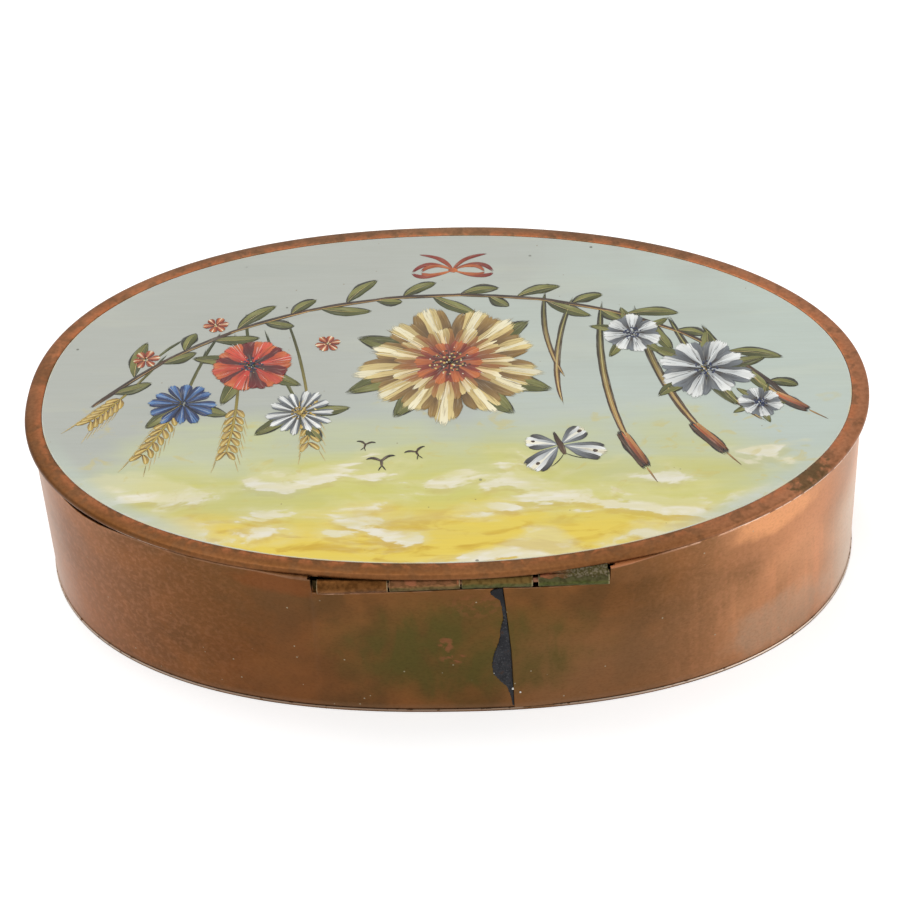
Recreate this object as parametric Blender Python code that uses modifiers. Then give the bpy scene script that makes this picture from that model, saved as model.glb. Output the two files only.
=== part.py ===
"""Oval trinket box in hand-worked copper sheet, with a painted lid on a tube hinge.

The frame is +Z up, with X along the length of the oval, the front at -Y and the hinge at +Y.
The origin is on the surface that the box stands on, under the middle of the lid.
All lengths are in metres.
"""

import math

import bmesh
import bpy
from mathutils import Euler, Matrix, Vector

# Lid: flat sheet with a raised border, rounded at its edge, round a sunk field of paint.
# An oval's squareness is given for its +X half and for its -X half: 0 is an ellipse.
LID_LENGTH = 0.200
LID_WIDTH = 0.130
LID_SQUARENESS_shares = (0.21, 0.05)
LID_EDGE_THICKNESS = 0.0014
LID_EDGE_ROUND = 0.0005
BORDER_WIDTH = 0.0041
BORDER_LIP = 0.0002
FIELD_DEPTH = 0.00065
PAINT_THICKNESS = 0.00025
PAINT_EDGE_BREAK = 0.00008

# Body: a strip bent to an oval with its ends lapped at the back, over a flat base.
# The oval at its top edge is slimmer than the one at its foot, but drawn out straight beside the hinge.
BOX_HEIGHT = 0.043
BASE_SQUARENESS_shares = (0.30, 0.30)
TOP_SQUARENESS_shares = (0.25, 0.08)
HINGE_FLAT_RISE = 0.0011
HINGE_FLAT_START = 0.012
HINGE_FLAT_END = 0.062
END_OVERHANG = 0.0018
FRONT_OVERHANG = 0.0018
WALL_THICKNESS = 0.0010
EDGE_BREAK = 0.00012
BASE_THICKNESS = 0.0008
BASE_OVERHANG = 0.0003
BASE_SOLDER_LEG = 0.0020

# The place near one end where the wall's top edge was cut a little low
DIP_DEPTH = 0.0008
DIP_HALF_LENGTH = 0.017
DIP_TURN = math.radians(38)

# Lapped seam of the wall, and the solder that ran down it
SEAM_OFFSET = 0.0159
SEAM_STEP = 0.0003
SEAM_FADE = 0.015
SEAM_LIP = 0.0001
SOLDER_WIDTH = 0.0033
SOLDER_FILM = 0.00025
SOLDER_FILM_GAP = 0.0001
SOLDER_DROP = 0.0008
SOLDER_TAIL = 0.0010

# Hinge: four lengths of tube in line, set askew along the chord of the curved wall
TUBE_DIAMETER = 0.0034
PIN_DIAMETER = 0.0016
PIN_CLEARANCE = 0.00007
PIN_RECESS = 0.0002
KNUCKLE_COUNT = 4
KNUCKLE_LENGTH = 0.01555
KNUCKLE_GAP = 0.0003
WIDE_KNUCKLE_GAP = 0.0012
WIDE_GAP_AFTER = 3
TUBE_EDGE_BREAK = 0.00015
HINGE_OFFSET = 0.0051
HINGE_SKEW = math.radians(1.8)
AXIS_INSET = 0.0016
SADDLE_CLEARANCE = 0.0002
NOTCH_END_GAP = 0.0003
NOTCH_FAR_GAP = 0.0013

# Gap between pieces that rest on or in each other
SEAT_GAP = 0.0003

# Facets
OVAL_STEPS = 144
EDGE_STEPS = 3
TUBE_STEPS = 32
PIN_STEPS = 24

# Levels and places that follow from the sizes
LID_TOP = BOX_HEIGHT
LID_UNDERSIDE = LID_TOP - LID_EDGE_THICKNESS
FIELD_FLOOR = LID_TOP - FIELD_DEPTH
WALL_TOP = LID_UNDERSIDE - SEAT_GAP
WALL_BOTTOM = BASE_THICKNESS + SEAT_GAP
BODY_LENGTH = LID_LENGTH - 2 * END_OVERHANG
BODY_WIDTH = LID_WIDTH - FRONT_OVERHANG
BODY_CENTRE_Y = FRONT_OVERHANG / 2
TUBE_RADIUS = TUBE_DIAMETER / 2
PIN_RADIUS = PIN_DIAMETER / 2
BORE_RADIUS = PIN_RADIUS + PIN_CLEARANCE
SADDLE_RADIUS = TUBE_RADIUS + SADDLE_CLEARANCE
AXIS_HEIGHT = LID_UNDERSIDE - SEAT_GAP - TUBE_RADIUS
AXIS_PLACE = Vector((-HINGE_OFFSET, LID_WIDTH / 2 - AXIS_INSET, AXIS_HEIGHT))
HINGE_LENGTH = (
    KNUCKLE_COUNT * KNUCKLE_LENGTH + (KNUCKLE_COUNT - 2) * KNUCKLE_GAP + WIDE_KNUCKLE_GAP
)

# The run of solder down the seam, as shares of its height (from the top) and of its greatest width
SOLDER_OUTLINE_shares = (
    (0.00, 0.55),
    (0.04, 0.70),
    (0.09, 0.64),
    (0.13, 0.30),
    (0.20, 0.20),
    (0.32, 0.24),
    (0.44, 0.46),
    (0.54, 0.82),
    (0.63, 1.00),
    (0.70, 0.86),
    (0.78, 0.46),
    (0.87, 0.22),
    (1.00, 0.06),
)

COPPER = (0.262, 0.105, 0.047)
BORDER_COPPER = (0.305, 0.118, 0.050)
GREEN_COPPER = (0.140, 0.110, 0.048)
PINK_COPPER = (0.420, 0.190, 0.110)
DARK_SOLDER = (0.030, 0.031, 0.033)
GREY_SOLDER = (0.220, 0.210, 0.190)
PAINT = (0.480, 0.510, 0.380)


def clear_scene():
    for old in list(bpy.data.objects):
        bpy.data.objects.remove(old, do_unlink=True)


def new_collection(name):
    collection = bpy.data.collections.new(name)
    bpy.context.scene.collection.children.link(collection)
    return collection


def finish_material(name, colour, roughness, metallic):
    material = bpy.data.materials.new(name)
    material.use_nodes = True
    shader = material.node_tree.nodes["Principled BSDF"]
    shader.inputs["Base Color"].default_value = (*colour, 1)
    shader.inputs["Roughness"].default_value = roughness
    shader.inputs["Metallic"].default_value = metallic
    return material


def add_object(name, data, collection, material=None, parent=None):
    """Makes the object, and hangs it on its parent without moving it."""
    piece = bpy.data.objects.new(name, data)
    collection.objects.link(piece)
    if material:
        data.materials.append(material)
    if parent:
        piece.parent = parent
    return piece


def keep_place(piece, parent):
    """Parents a piece that is already modelled in its place."""
    piece.parent = parent
    piece.matrix_parent_inverse = parent.matrix_world.inverted()


def add_empty(name, collection, place, turn):
    empty = bpy.data.objects.new(name, None)
    collection.objects.link(empty)
    empty.matrix_world = Matrix.Translation(place) @ Euler((0, 0, turn)).to_matrix().to_4x4()
    empty.empty_display_size = TUBE_DIAMETER
    return empty


class Oval:
    """A squared ellipse. A point of it is named by its turn, an angle that grows from +X towards +Y."""

    def __init__(self, length, width, squareness_shares, centre_y=0.0):
        self.half_length = length / 2
        self.half_width = width / 2
        self.squareness_shares = squareness_shares
        self.centre_y = centre_y

    def exponent(self, towards_x):
        return 2 + self.squareness_shares[0 if towards_x > 0 else 1]

    def normal(self, turn):
        power = 2 - 2 / self.exponent(math.cos(turn))
        across = math.copysign(abs(math.cos(turn)) ** power, math.cos(turn)) / self.half_length
        along = math.copysign(abs(math.sin(turn)) ** power, math.sin(turn)) / self.half_width
        return Vector((across, along)).normalized()

    def point(self, turn, inset=0.0):
        """The outline's point at this turn, moved square to the outline by the inset."""
        power = 2 / self.exponent(math.cos(turn))
        x = math.copysign(abs(math.cos(turn)) ** power, math.cos(turn)) * self.half_length
        y = math.copysign(abs(math.sin(turn)) ** power, math.sin(turn)) * self.half_width
        return Vector((x, y + self.centre_y)) - self.normal(turn) * inset

    def turn_at_back(self, x):
        """The turn at which the hinge side of the outline crosses this x."""
        share = (abs(x) / self.half_length) ** (self.exponent(x) / 2)
        return math.acos(math.copysign(share, x))


LID_OVAL = Oval(LID_LENGTH, LID_WIDTH, LID_SQUARENESS_shares)
BASE_OVAL = Oval(BODY_LENGTH, BODY_WIDTH, BASE_SQUARENESS_shares, BODY_CENTRE_Y)
TOP_OVAL = Oval(BODY_LENGTH, BODY_WIDTH, TOP_SQUARENESS_shares, BODY_CENTRE_Y)
SEAM_TURN = BASE_OVAL.turn_at_back(-SEAM_OFFSET)
SEAM_LIP_TURN = BASE_OVAL.turn_at_back(-SEAM_OFFSET - SEAM_LIP)


def even_turns(count):
    """Turns round the whole outline. None lies on an axis, where its two halves meet."""
    return [2 * math.pi * (step + 0.5) / count for step in range(count)]


def oval_ring(oval, turns, inset, height):
    return [(*oval.point(turn, inset), height) for turn in turns]


def loft_mesh(name, rings, capped):
    """Joins the rings in order, then closes the ends with flat caps, or the last ring onto the first."""
    shape = bmesh.new()
    loops = [[shape.verts.new(place) for place in ring] for ring in rings]
    following_loops = loops[1:] if capped else loops[1:] + loops[:1]
    for lower, upper in zip(loops, following_loops):
        for here, corner in enumerate(lower):
            shape.faces.new((lower[here - 1], corner, upper[here], upper[here - 1]))
    if capped:
        shape.faces.new(loops[0])
        shape.faces.new(loops[-1])
    bmesh.ops.recalc_face_normals(shape, faces=shape.faces)
    mesh = bpy.data.meshes.new(name)
    shape.to_mesh(mesh)
    shape.free()
    mesh.shade_smooth()
    mesh.set_sharp_from_angle(angle=math.radians(30))
    return mesh


def slab_rings(oval, inset, bottom, top, edge):
    """The rings of a flat plate whose edges are broken by a small chamfer."""
    turns = even_turns(OVAL_STEPS)
    profile = (
        (inset + edge, bottom),
        (inset, bottom + edge),
        (inset, top - edge),
        (inset + edge, top),
    )
    return [oval_ring(oval, turns, *point) for point in profile]


def rounded_edge(radius, bottom, top):
    """Profile points from the underside out round the edge and back onto the top."""
    quarter = [math.pi / 2 * step / EDGE_STEPS for step in range(EDGE_STEPS + 1)]
    lower = [(radius - radius * math.sin(a), bottom + radius - radius * math.cos(a)) for a in quarter]
    upper = [(inset, top + bottom - height) for inset, height in reversed(lower)]
    return lower + upper


def build_base_plate(collection, material):
    rings = slab_rings(BASE_OVAL, -BASE_OVERHANG, 0.0, BASE_THICKNESS, EDGE_BREAK)
    return add_object("base_plate", loft_mesh("base_plate", rings, True), collection, material)


def build_base_solder(collection, material):
    """A three-sided fillet in the inside corner between the wall and the base."""
    turns = even_turns(OVAL_STEPS)
    outer = WALL_THICKNESS + SEAT_GAP
    floor = BASE_THICKNESS + SEAT_GAP
    profile = (
        (outer, floor),
        (outer, floor + BASE_SOLDER_LEG),
        (outer + BASE_SOLDER_LEG, floor),
    )
    rings = [oval_ring(BASE_OVAL, turns, *point) for point in profile]
    return add_object("base_solder", loft_mesh("base_solder", rings, False), collection, material)


def wall_turns():
    """Even turns, with the two edges of the lap in place of the one that lies close to it."""
    reach = math.pi / OVAL_STEPS
    kept = [turn for turn in even_turns(OVAL_STEPS) if abs(turn - SEAM_TURN) > reach]
    return sorted(kept + [SEAM_TURN, SEAM_LIP_TURN])


def lap_step(oval, turn):
    """How far the lapped end stands out: the whole step at the seam, and nothing further along."""
    past = oval.point(SEAM_TURN).x - oval.point(turn).x
    if turn <= SEAM_TURN or turn > math.pi or past > SEAM_FADE:
        return 0.0
    share = past / SEAM_FADE
    return SEAM_STEP * (1 - share * share * (3 - 2 * share))


def hinge_flat(place):
    """How far the top edge is drawn out towards the line of the hinge, on both sides of its middle."""
    share = (abs(place.x) - HINGE_FLAT_START) / (HINGE_FLAT_END - HINGE_FLAT_START)
    if place.y < BODY_CENTRE_Y or not 0 < share < 1:
        return 0.0
    return HINGE_FLAT_RISE * math.sin(math.pi * share) ** 2


def dip_at(turn):
    """How far the wall's top edge lies low at this turn."""
    apart = (TOP_OVAL.point(turn) - TOP_OVAL.point(DIP_TURN)).length
    if apart > DIP_HALF_LENGTH:
        return 0.0
    return DIP_DEPTH * math.cos(math.pi / 2 * apart / DIP_HALF_LENGTH) ** 2


def foot_ring(inset, height, on_outside):
    ring = []
    for turn in wall_turns():
        outward = lap_step(BASE_OVAL, turn) if on_outside else 0.0
        ring.append((*BASE_OVAL.point(turn, inset - outward), height))
    return ring


def top_ring(inset, height, on_outside):
    ring = []
    for turn in wall_turns():
        outward = lap_step(TOP_OVAL, turn) if on_outside else 0.0
        place = TOP_OVAL.point(turn, inset - outward)
        ring.append((place.x, place.y + hinge_flat(place), height - dip_at(turn)))
    return ring


def build_body_wall(collection, cutters, hinge_line, material):
    inner = WALL_THICKNESS
    rings = [
        foot_ring(EDGE_BREAK, WALL_BOTTOM, True),
        foot_ring(0.0, WALL_BOTTOM + EDGE_BREAK, True),
        top_ring(0.0, WALL_TOP - EDGE_BREAK, True),
        top_ring(EDGE_BREAK, WALL_TOP, True),
        top_ring(inner - EDGE_BREAK, WALL_TOP, False),
        top_ring(inner, WALL_TOP - EDGE_BREAK, False),
        foot_ring(inner, WALL_BOTTOM, False),
    ]
    wall = add_object("body_wall", loft_mesh("body_wall", rings, False), collection, material)
    for cutter in hinge_cutters(cutters, hinge_line):
        cut = wall.modifiers.new(cutter.name, "BOOLEAN")
        cut.operation = "DIFFERENCE"
        cut.object = cutter
    return wall


def hinge_cutters(cutters, hinge_line):
    """A box that opens the wall's top edge for the tube, and a round saddle under it."""
    length = HINGE_LENGTH + NOTCH_END_GAP + NOTCH_FAR_GAP
    middle = (NOTCH_FAR_GAP - NOTCH_END_GAP) / 2
    reach = SADDLE_RADIUS + WALL_THICKNESS
    box = bmesh.new()
    bmesh.ops.create_cube(box, size=1)
    bmesh.ops.scale(box, vec=(length, 2 * reach, reach), verts=box.verts)
    bmesh.ops.translate(box, vec=(middle, 0, reach / 2), verts=box.verts)
    saddle = bmesh.new()
    bmesh.ops.create_cone(
        saddle,
        cap_ends=True,
        segments=TUBE_STEPS,
        radius1=SADDLE_RADIUS,
        radius2=SADDLE_RADIUS,
        depth=length,
    )
    bmesh.ops.rotate(saddle, matrix=Matrix.Rotation(math.pi / 2, 3, "Y"), verts=saddle.verts)
    bmesh.ops.translate(saddle, vec=(middle, 0, 0), verts=saddle.verts)
    made = []
    for name, shape in (("hinge_notch", box), ("hinge_saddle", saddle)):
        mesh = bpy.data.meshes.new(name)
        shape.to_mesh(mesh)
        shape.free()
        cutter = add_object(name, mesh, cutters, parent=hinge_line)
        cutter.hide_render = True
        cutter.display_type = "WIRE"
        made.append(cutter)
    return made


def build_seam_solder(collection, material):
    """A thin film of solder beside the lap's edge, as a flat outline a film thick."""
    foot = Vector((*BASE_OVAL.point(SEAM_TURN), WALL_BOTTOM))
    head = Vector((*TOP_OVAL.point(SEAM_TURN), WALL_TOP))
    upward = (head - foot).normalized()
    normal = Vector((*BASE_OVAL.normal(SEAM_TURN), 0))
    outward = (normal - upward * normal.dot(upward)).normalized()
    top = AXIS_HEIGHT - SADDLE_RADIUS - SOLDER_DROP
    height = top - WALL_BOTTOM - SOLDER_TAIL
    outline = bpy.data.curves.new("seam_solder", "CURVE")
    outline.dimensions = "2D"
    outline.fill_mode = "BOTH"
    outline.extrude = SOLDER_FILM / 2
    points = [(-SOLDER_WIDTH * wide, height * (1 - down)) for down, wide in SOLDER_OUTLINE_shares]
    points += [(0, 0), (0, height)]
    spline = outline.splines.new("POLY")
    spline.use_cyclic_u = True
    spline.points.add(len(points) - 1)
    for corner, (across, up) in zip(spline.points, points):
        corner.co = (across, up, 0, 1)
    film = add_object("seam_solder", outline, collection, material)
    place = foot + upward * SOLDER_TAIL + outward * (SOLDER_FILM_GAP + SOLDER_FILM / 2)
    turned = Matrix((upward.cross(outward), upward, outward)).transposed().to_4x4()
    film.matrix_world = Matrix.Translation(place) @ turned
    return film


def tube_mesh(name):
    """The turned profile of one length of tube, down its outer side and up its bore."""
    half = KNUCKLE_LENGTH / 2
    outer = TUBE_RADIUS
    profile = (
        (outer, half - TUBE_EDGE_BREAK),
        (outer, -half + TUBE_EDGE_BREAK),
        (outer - TUBE_EDGE_BREAK, -half),
        (BORE_RADIUS, -half),
        (BORE_RADIUS, half),
        (outer - TUBE_EDGE_BREAK, half),
    )
    count = len(profile)
    mesh = bpy.data.meshes.new(name)
    mesh.from_pydata(
        [(radius, 0, height) for radius, height in profile],
        [(step, (step + 1) % count) for step in range(count)],
        [],
    )
    return mesh


def build_knuckle(name, place_along, collection, material, parent):
    knuckle = add_object(name, tube_mesh(name), collection, material, parent)
    knuckle.location = (place_along, 0, 0)
    knuckle.rotation_euler = (0, math.pi / 2, 0)
    turned = knuckle.modifiers.new("turned", "SCREW")
    turned.axis = "Z"
    turned.angle = 2 * math.pi
    turned.steps = TUBE_STEPS
    turned.render_steps = TUBE_STEPS
    turned.use_merge_vertices = True
    turned.merge_threshold = 0.00001
    turned.use_normal_calculate = True
    turned.use_smooth_shade = True
    return knuckle


def knuckle_places():
    """The middle of each length of tube, from the hinge's +X end to its other end."""
    places = []
    start = HINGE_LENGTH / 2
    for number in range(1, KNUCKLE_COUNT + 1):
        places.append(start - KNUCKLE_LENGTH / 2)
        gap = WIDE_KNUCKLE_GAP if number == WIDE_GAP_AFTER else KNUCKLE_GAP
        start -= KNUCKLE_LENGTH + gap
    return places


def build_hinge(collection, hinge_line, lid_pivot, materials):
    """Odd lengths of tube are on the wall and even ones on the lid, and one pin runs through all."""
    for index, place in enumerate(knuckle_places()):
        side, parent = ("lid", lid_pivot) if index % 2 else ("body", hinge_line)
        name = f"{side}_knuckle_{index // 2 + 1}"
        build_knuckle(name, place, collection, materials[index], parent)
    pin = bmesh.new()
    bmesh.ops.create_cone(
        pin,
        cap_ends=True,
        segments=PIN_STEPS,
        radius1=PIN_RADIUS,
        radius2=PIN_RADIUS,
        depth=HINGE_LENGTH - 2 * PIN_RECESS,
    )
    mesh = bpy.data.meshes.new("hinge_pin")
    pin.to_mesh(mesh)
    pin.free()
    mesh.shade_smooth()
    mesh.set_sharp_from_angle(angle=math.radians(30))
    wire = add_object("hinge_pin", mesh, collection, materials[-1], hinge_line)
    wire.rotation_euler = (0, math.pi / 2, 0)
    return wire


def build_lid_sheet(collection, lid_pivot, material):
    turns = even_turns(OVAL_STEPS)
    profile = rounded_edge(LID_EDGE_ROUND, LID_UNDERSIDE, LID_TOP)
    profile += [
        (BORDER_WIDTH - BORDER_LIP, LID_TOP),
        (BORDER_WIDTH, LID_TOP - BORDER_LIP),
        (BORDER_WIDTH, FIELD_FLOOR),
    ]
    rings = [oval_ring(LID_OVAL, turns, *point) for point in profile]
    sheet = add_object("lid_sheet", loft_mesh("lid_sheet", rings, True), collection, material)
    keep_place(sheet, lid_pivot)
    return sheet


def build_painted_ground(collection, lid_pivot, material):
    bottom = FIELD_FLOOR + SEAT_GAP
    top = bottom + PAINT_THICKNESS
    rings = slab_rings(LID_OVAL, BORDER_WIDTH + SEAT_GAP, bottom, top, PAINT_EDGE_BREAK)
    coat = add_object("painted_ground", loft_mesh("painted_ground", rings, True), collection, material)
    keep_place(coat, lid_pivot)
    return coat


def main():
    clear_scene()
    box = new_collection("trinket_box")
    cutters = new_collection("cutters")
    hinge_line = add_empty("hinge_line", box, AXIS_PLACE, HINGE_SKEW)
    lid_pivot = add_empty("lid_pivot", box, AXIS_PLACE, HINGE_SKEW)
    bpy.context.view_layer.update()

    copper = finish_material("worn_copper", COPPER, 0.38, 1.0)
    green = finish_material("green_copper", GREEN_COPPER, 0.5, 0.7)
    pink = finish_material("pink_copper", PINK_COPPER, 0.35, 1.0)

    build_base_plate(box, finish_material("base_copper", COPPER, 0.4, 1.0))
    build_base_solder(box, finish_material("grey_solder", GREY_SOLDER, 0.5, 1.0))
    build_body_wall(box, cutters, hinge_line, copper)
    build_seam_solder(box, finish_material("dark_solder", DARK_SOLDER, 0.55, 0.6))
    build_hinge(box, hinge_line, lid_pivot, [copper, green, green, green, pink])
    build_lid_sheet(box, lid_pivot, finish_material("border_copper", BORDER_COPPER, 0.36, 1.0))
    build_painted_ground(box, lid_pivot, finish_material("oil_paint", PAINT, 0.45, 0.0))


main()
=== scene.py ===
# %% [markdown]
# # An oval copper box with a painted lid
# This lesson dresses a small keepsake box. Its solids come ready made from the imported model: a wall bent from
# copper sheet, a flat base, a flat lid and a hinge of four tubes on one pin. Here they get finer surfaces,
# worn copper, and a lid painted by hand. Outlines and the hinge are measured in metres. Profiles, finishes
# and brush strokes are measured in millimetres. +Z is up, and the hinge is on the +Y side.

import math
import random

import bmesh
import bpy
from mathutils import Matrix, Vector


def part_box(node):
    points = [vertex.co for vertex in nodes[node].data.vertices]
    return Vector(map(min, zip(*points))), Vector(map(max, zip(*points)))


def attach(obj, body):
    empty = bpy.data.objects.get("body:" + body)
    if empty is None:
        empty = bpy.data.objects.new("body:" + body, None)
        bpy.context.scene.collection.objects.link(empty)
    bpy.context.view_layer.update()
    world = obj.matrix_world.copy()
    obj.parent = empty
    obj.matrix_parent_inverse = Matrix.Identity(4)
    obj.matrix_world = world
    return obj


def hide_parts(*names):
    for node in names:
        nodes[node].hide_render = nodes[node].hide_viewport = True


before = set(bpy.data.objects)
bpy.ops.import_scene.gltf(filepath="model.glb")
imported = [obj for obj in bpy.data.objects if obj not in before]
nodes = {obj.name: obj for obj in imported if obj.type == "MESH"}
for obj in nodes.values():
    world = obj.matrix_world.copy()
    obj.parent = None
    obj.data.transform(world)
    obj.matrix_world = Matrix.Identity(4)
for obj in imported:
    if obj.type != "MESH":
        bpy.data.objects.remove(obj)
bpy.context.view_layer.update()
MM = 0.001
print("pieces in the packed model:", ", ".join(sorted(nodes)))

# %% [markdown]
# ## The camera
# The photograph was taken from behind the box, from above, with a long lens and the camera turned a little.
# The angles and the distance come from fitting the outlines of the lid, the wall and the base. Building the
# camera's own three directions by hand keeps the roll, which a plain look-at constraint would lose.

# %% Place the camera
AZIMUTH, ELEVATION, ROLL = (math.radians(angle) for angle in (182.993, 40.824, -2.886))
EYE_DISTANCE, EYE_RIGHT, EYE_UP = 0.60315, -0.000456, 0.017244
FOCAL_LENGTH, SENSOR_WIDTH = 96.814, 36
back = Vector((
    math.sin(AZIMUTH) * math.cos(ELEVATION),
    -math.cos(AZIMUTH) * math.cos(ELEVATION),
    math.sin(ELEVATION),
))
level_right = Vector((math.cos(AZIMUTH), math.sin(AZIMUTH), 0))
level_up = back.cross(level_right)
right = level_right * math.cos(ROLL) + level_up * math.sin(ROLL)
up = level_up * math.cos(ROLL) - level_right * math.sin(ROLL)

lens = bpy.data.cameras.new("camera")
lens.lens = FOCAL_LENGTH
lens.sensor_width = SENSOR_WIDTH
lens.clip_start = 0.01
camera = bpy.data.objects.new("camera", lens)
bpy.context.scene.collection.objects.link(camera)
eye = right * EYE_RIGHT + up * EYE_UP + back * EYE_DISTANCE
camera.matrix_world = Matrix.Translation(eye) @ Matrix((right, up, back)).transposed().to_4x4()
bpy.context.scene.camera = camera
print("camera at", [round(value, 4) for value in eye])

# %% [markdown]
# ## Shader sums in plain Python
# A finish is a small network of nodes. To read it like a recipe, one class stands for the value on a socket,
# and its plus, minus and times signs add Math nodes. A second class stands for a whole finish: it makes any
# node from its kind, its settings and what goes into its sockets, and has a few short words for the nodes
# that come up most. Places are read in millimetres, because that is how a worn patch is measured.

# %% Values and finishes
class Value:
    """What one socket gives over a surface. Sums on it add Math nodes."""

    def __init__(self, finish, socket):
        self.finish = finish
        self.socket = socket

    def sum_of(self, operation, first, second=0.0):
        return self.finish.node("Math", {"operation": operation}, {0: first, 1: second})

    def __add__(self, other):
        return self.sum_of("ADD", self, other)

    __radd__ = __add__

    def __sub__(self, other):
        return self.sum_of("SUBTRACT", self, other)

    def __rsub__(self, other):
        return self.sum_of("SUBTRACT", other, self)

    def __mul__(self, other):
        return self.sum_of("MULTIPLY", self, other)

    __rmul__ = __mul__

    def __truediv__(self, other):
        return self.sum_of("DIVIDE", self, other)

    def __pow__(self, other):
        return self.sum_of("POWER", self, other)

    def size(self):
        return self.sum_of("ABSOLUTE", self)

    def or_less(self, other):
        return self.sum_of("MINIMUM", self, other)

    def or_more(self, other):
        return self.sum_of("MAXIMUM", self, other)

    def between(self, low, high):
        """0 at the low value and 1 at the high one, with soft ends."""
        settings = {"interpolation_type": "SMOOTHSTEP"}
        return self.finish.node("MapRange", settings, {0: self, 1: low, 2: high})


class Finish:
    """A material, with its principled shader's plain values given by name."""

    def __init__(self, name, **plain):
        self.material = bpy.data.materials.new(name)
        self.material.use_nodes = True
        self.tree = self.material.node_tree
        self.shader = self.tree.nodes["Principled BSDF"]
        for socket, value in plain.items():
            self.shader.inputs[socket.replace("_", " ")].default_value = value
        place = self.node("TexCoord", {}, {}, "Object")
        self.place = self.node("VectorMath", {"operation": "SCALE"}, {0: place, "Scale": 1000})
        parts = self.node("SeparateXYZ", {}, {0: self.place})
        self.x, self.y, self.z = (Value(self, socket) for socket in parts.socket.node.outputs)

    def node(self, kind, settings, sockets, output=0):
        made = self.tree.nodes.new("ShaderNode" + kind)
        for setting, value in settings.items():
            setattr(made, setting, value)
        for name, value in sockets.items():
            socket = made.inputs[name]
            if isinstance(value, Value):
                self.tree.links.new(value.socket, socket)
            elif socket.type == "RGBA":
                socket.default_value = (*value, 1)
            else:
                socket.default_value = value
        return Value(self, made.outputs[output])

    def noise(self, across, detail=3.0, stretch=(1, 1, 1), place=None, warp=0.0, seed=0.0):
        """Cloudy values about 0.5, whose blots are so many millimetres across."""
        spread = {"Vector": place or self.place, "Scale": stretch, "Location": (seed, seed * 1.7, seed * 0.6)}
        moved = self.node("Mapping", {}, spread)
        sockets = {"Vector": moved, "Scale": 1 / across, "Detail": detail, "Distortion": warp}
        return self.node("TexNoise", {}, sockets, "Fac")

    def specks(self, apart, across, seed=0.0):
        """1 on small round specks of so many millimetres, about so far apart."""
        moved = self.node("Mapping", {}, {"Vector": self.place, "Location": (seed, seed, seed)})
        cells = self.node("TexVoronoi", {}, {"Vector": moved, "Scale": 1 / apart}, "Distance")
        return 1 - cells.between(across / apart * 0.35, across / apart * 0.6)

    def patch(self, middle, half, ragged=0.0, blots=4.0):
        """1 within an oval patch about a place, falling to 0 at its half sizes, with a ragged edge."""
        apart = 0.0
        for value, centre, reach in zip((self.x, self.y, self.z), middle, half):
            if reach:
                apart = ((value - centre) / reach) ** 2 + apart
        if ragged:
            apart = apart + (self.noise(blots, 4.0, seed=middle[0]) - 0.5) * ragged
        return 1 - apart.between(0.15, 1.0)

    def mix(self, share, first, second, blend="MIX"):
        settings = {"data_type": "RGBA", "blend_type": blend}
        return self.node("Mix", settings, {0: share, 6: first, 7: second}, 2)

    def coat(self, share, tone, blend="MIX"):
        """Lays one more tone over the colour so far, to a share that may change over the surface."""
        self.colour = self.mix(share, self.colour, tone, blend)

    def bump(self, height, millimetres, under=None):
        sockets = {"Height": height, "Distance": millimetres * MM, "Strength": 1.0}
        if under:
            sockets["Normal"] = under
        return self.node("Bump", {}, sockets)

    def feed(self, **inputs):
        for name, value in inputs.items():
            self.tree.links.new(value.socket, self.shader.inputs[name.replace("_", " ")])
        return self.material


print("shader words ready")

# %% [markdown]
# ## Studio
# The box was photographed on plain white. A large pale floor takes the soft shadow. Rays from the camera and
# mirror rays see it a little brighter than it is lit, so that it reads as white paper without any more light
# on the box. The world gives even light from all round, and two soft lamps give the copper some shape.

# %% Floor and lamps
WORLD_LEVEL = 0.72
FLOOR_GLOW = 0.46
SEEN_RAYS = ("Is Camera Ray", "Is Glossy Ray", "Is Transmission Ray")
floor_shape = bmesh.new()
bmesh.ops.create_circle(floor_shape, cap_ends=True, segments=96, radius=4)
floor_mesh = bpy.data.meshes.new("floor")
floor_shape.to_mesh(floor_mesh)
floor_shape.free()
floor = bpy.data.objects.new("floor", floor_mesh)
bpy.context.scene.collection.objects.link(floor)

paper = Finish(
    "white_floor",
    Base_Color=(0.9, 0.9, 0.9, 1), Roughness=0.9, Specular_IOR_Level=0.0, Emission_Strength=1.0,
)
rays = paper.node("LightPath", {}, {})
seen = [Value(paper, rays.socket.node.outputs[ray]) for ray in SEEN_RAYS]
glow = seen[0].or_more(seen[1]).or_more(seen[2]) * FLOOR_GLOW
paper.feed(Emission_Color=paper.mix(glow, (0, 0, 0), (1, 1, 1)))
floor_mesh.materials.append(paper.material)

world = bpy.data.worlds.new("studio")
world.use_nodes = True
bpy.context.scene.world = world
dome = world.node_tree.nodes["Background"]
dome.inputs["Color"].default_value = (1, 1, 1, 1)
path = world.node_tree.nodes.new("ShaderNodeLightPath")
level = world.node_tree.nodes.new("ShaderNodeMapRange")
level.inputs["To Min"].default_value = WORLD_LEVEL
level.inputs["To Max"].default_value = 1.0
seen = level.inputs["Value"]
for ray in SEEN_RAYS:
    either = world.node_tree.nodes.new("ShaderNodeMath")
    either.operation = "MAXIMUM"
    either.inputs[1].default_value = 0.0
    world.node_tree.links.new(path.outputs[ray], either.inputs[0])
    world.node_tree.links.new(either.outputs[0], seen)
    seen = either.inputs[1]
world.node_tree.links.new(level.outputs["Result"], dome.inputs["Strength"])


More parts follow.
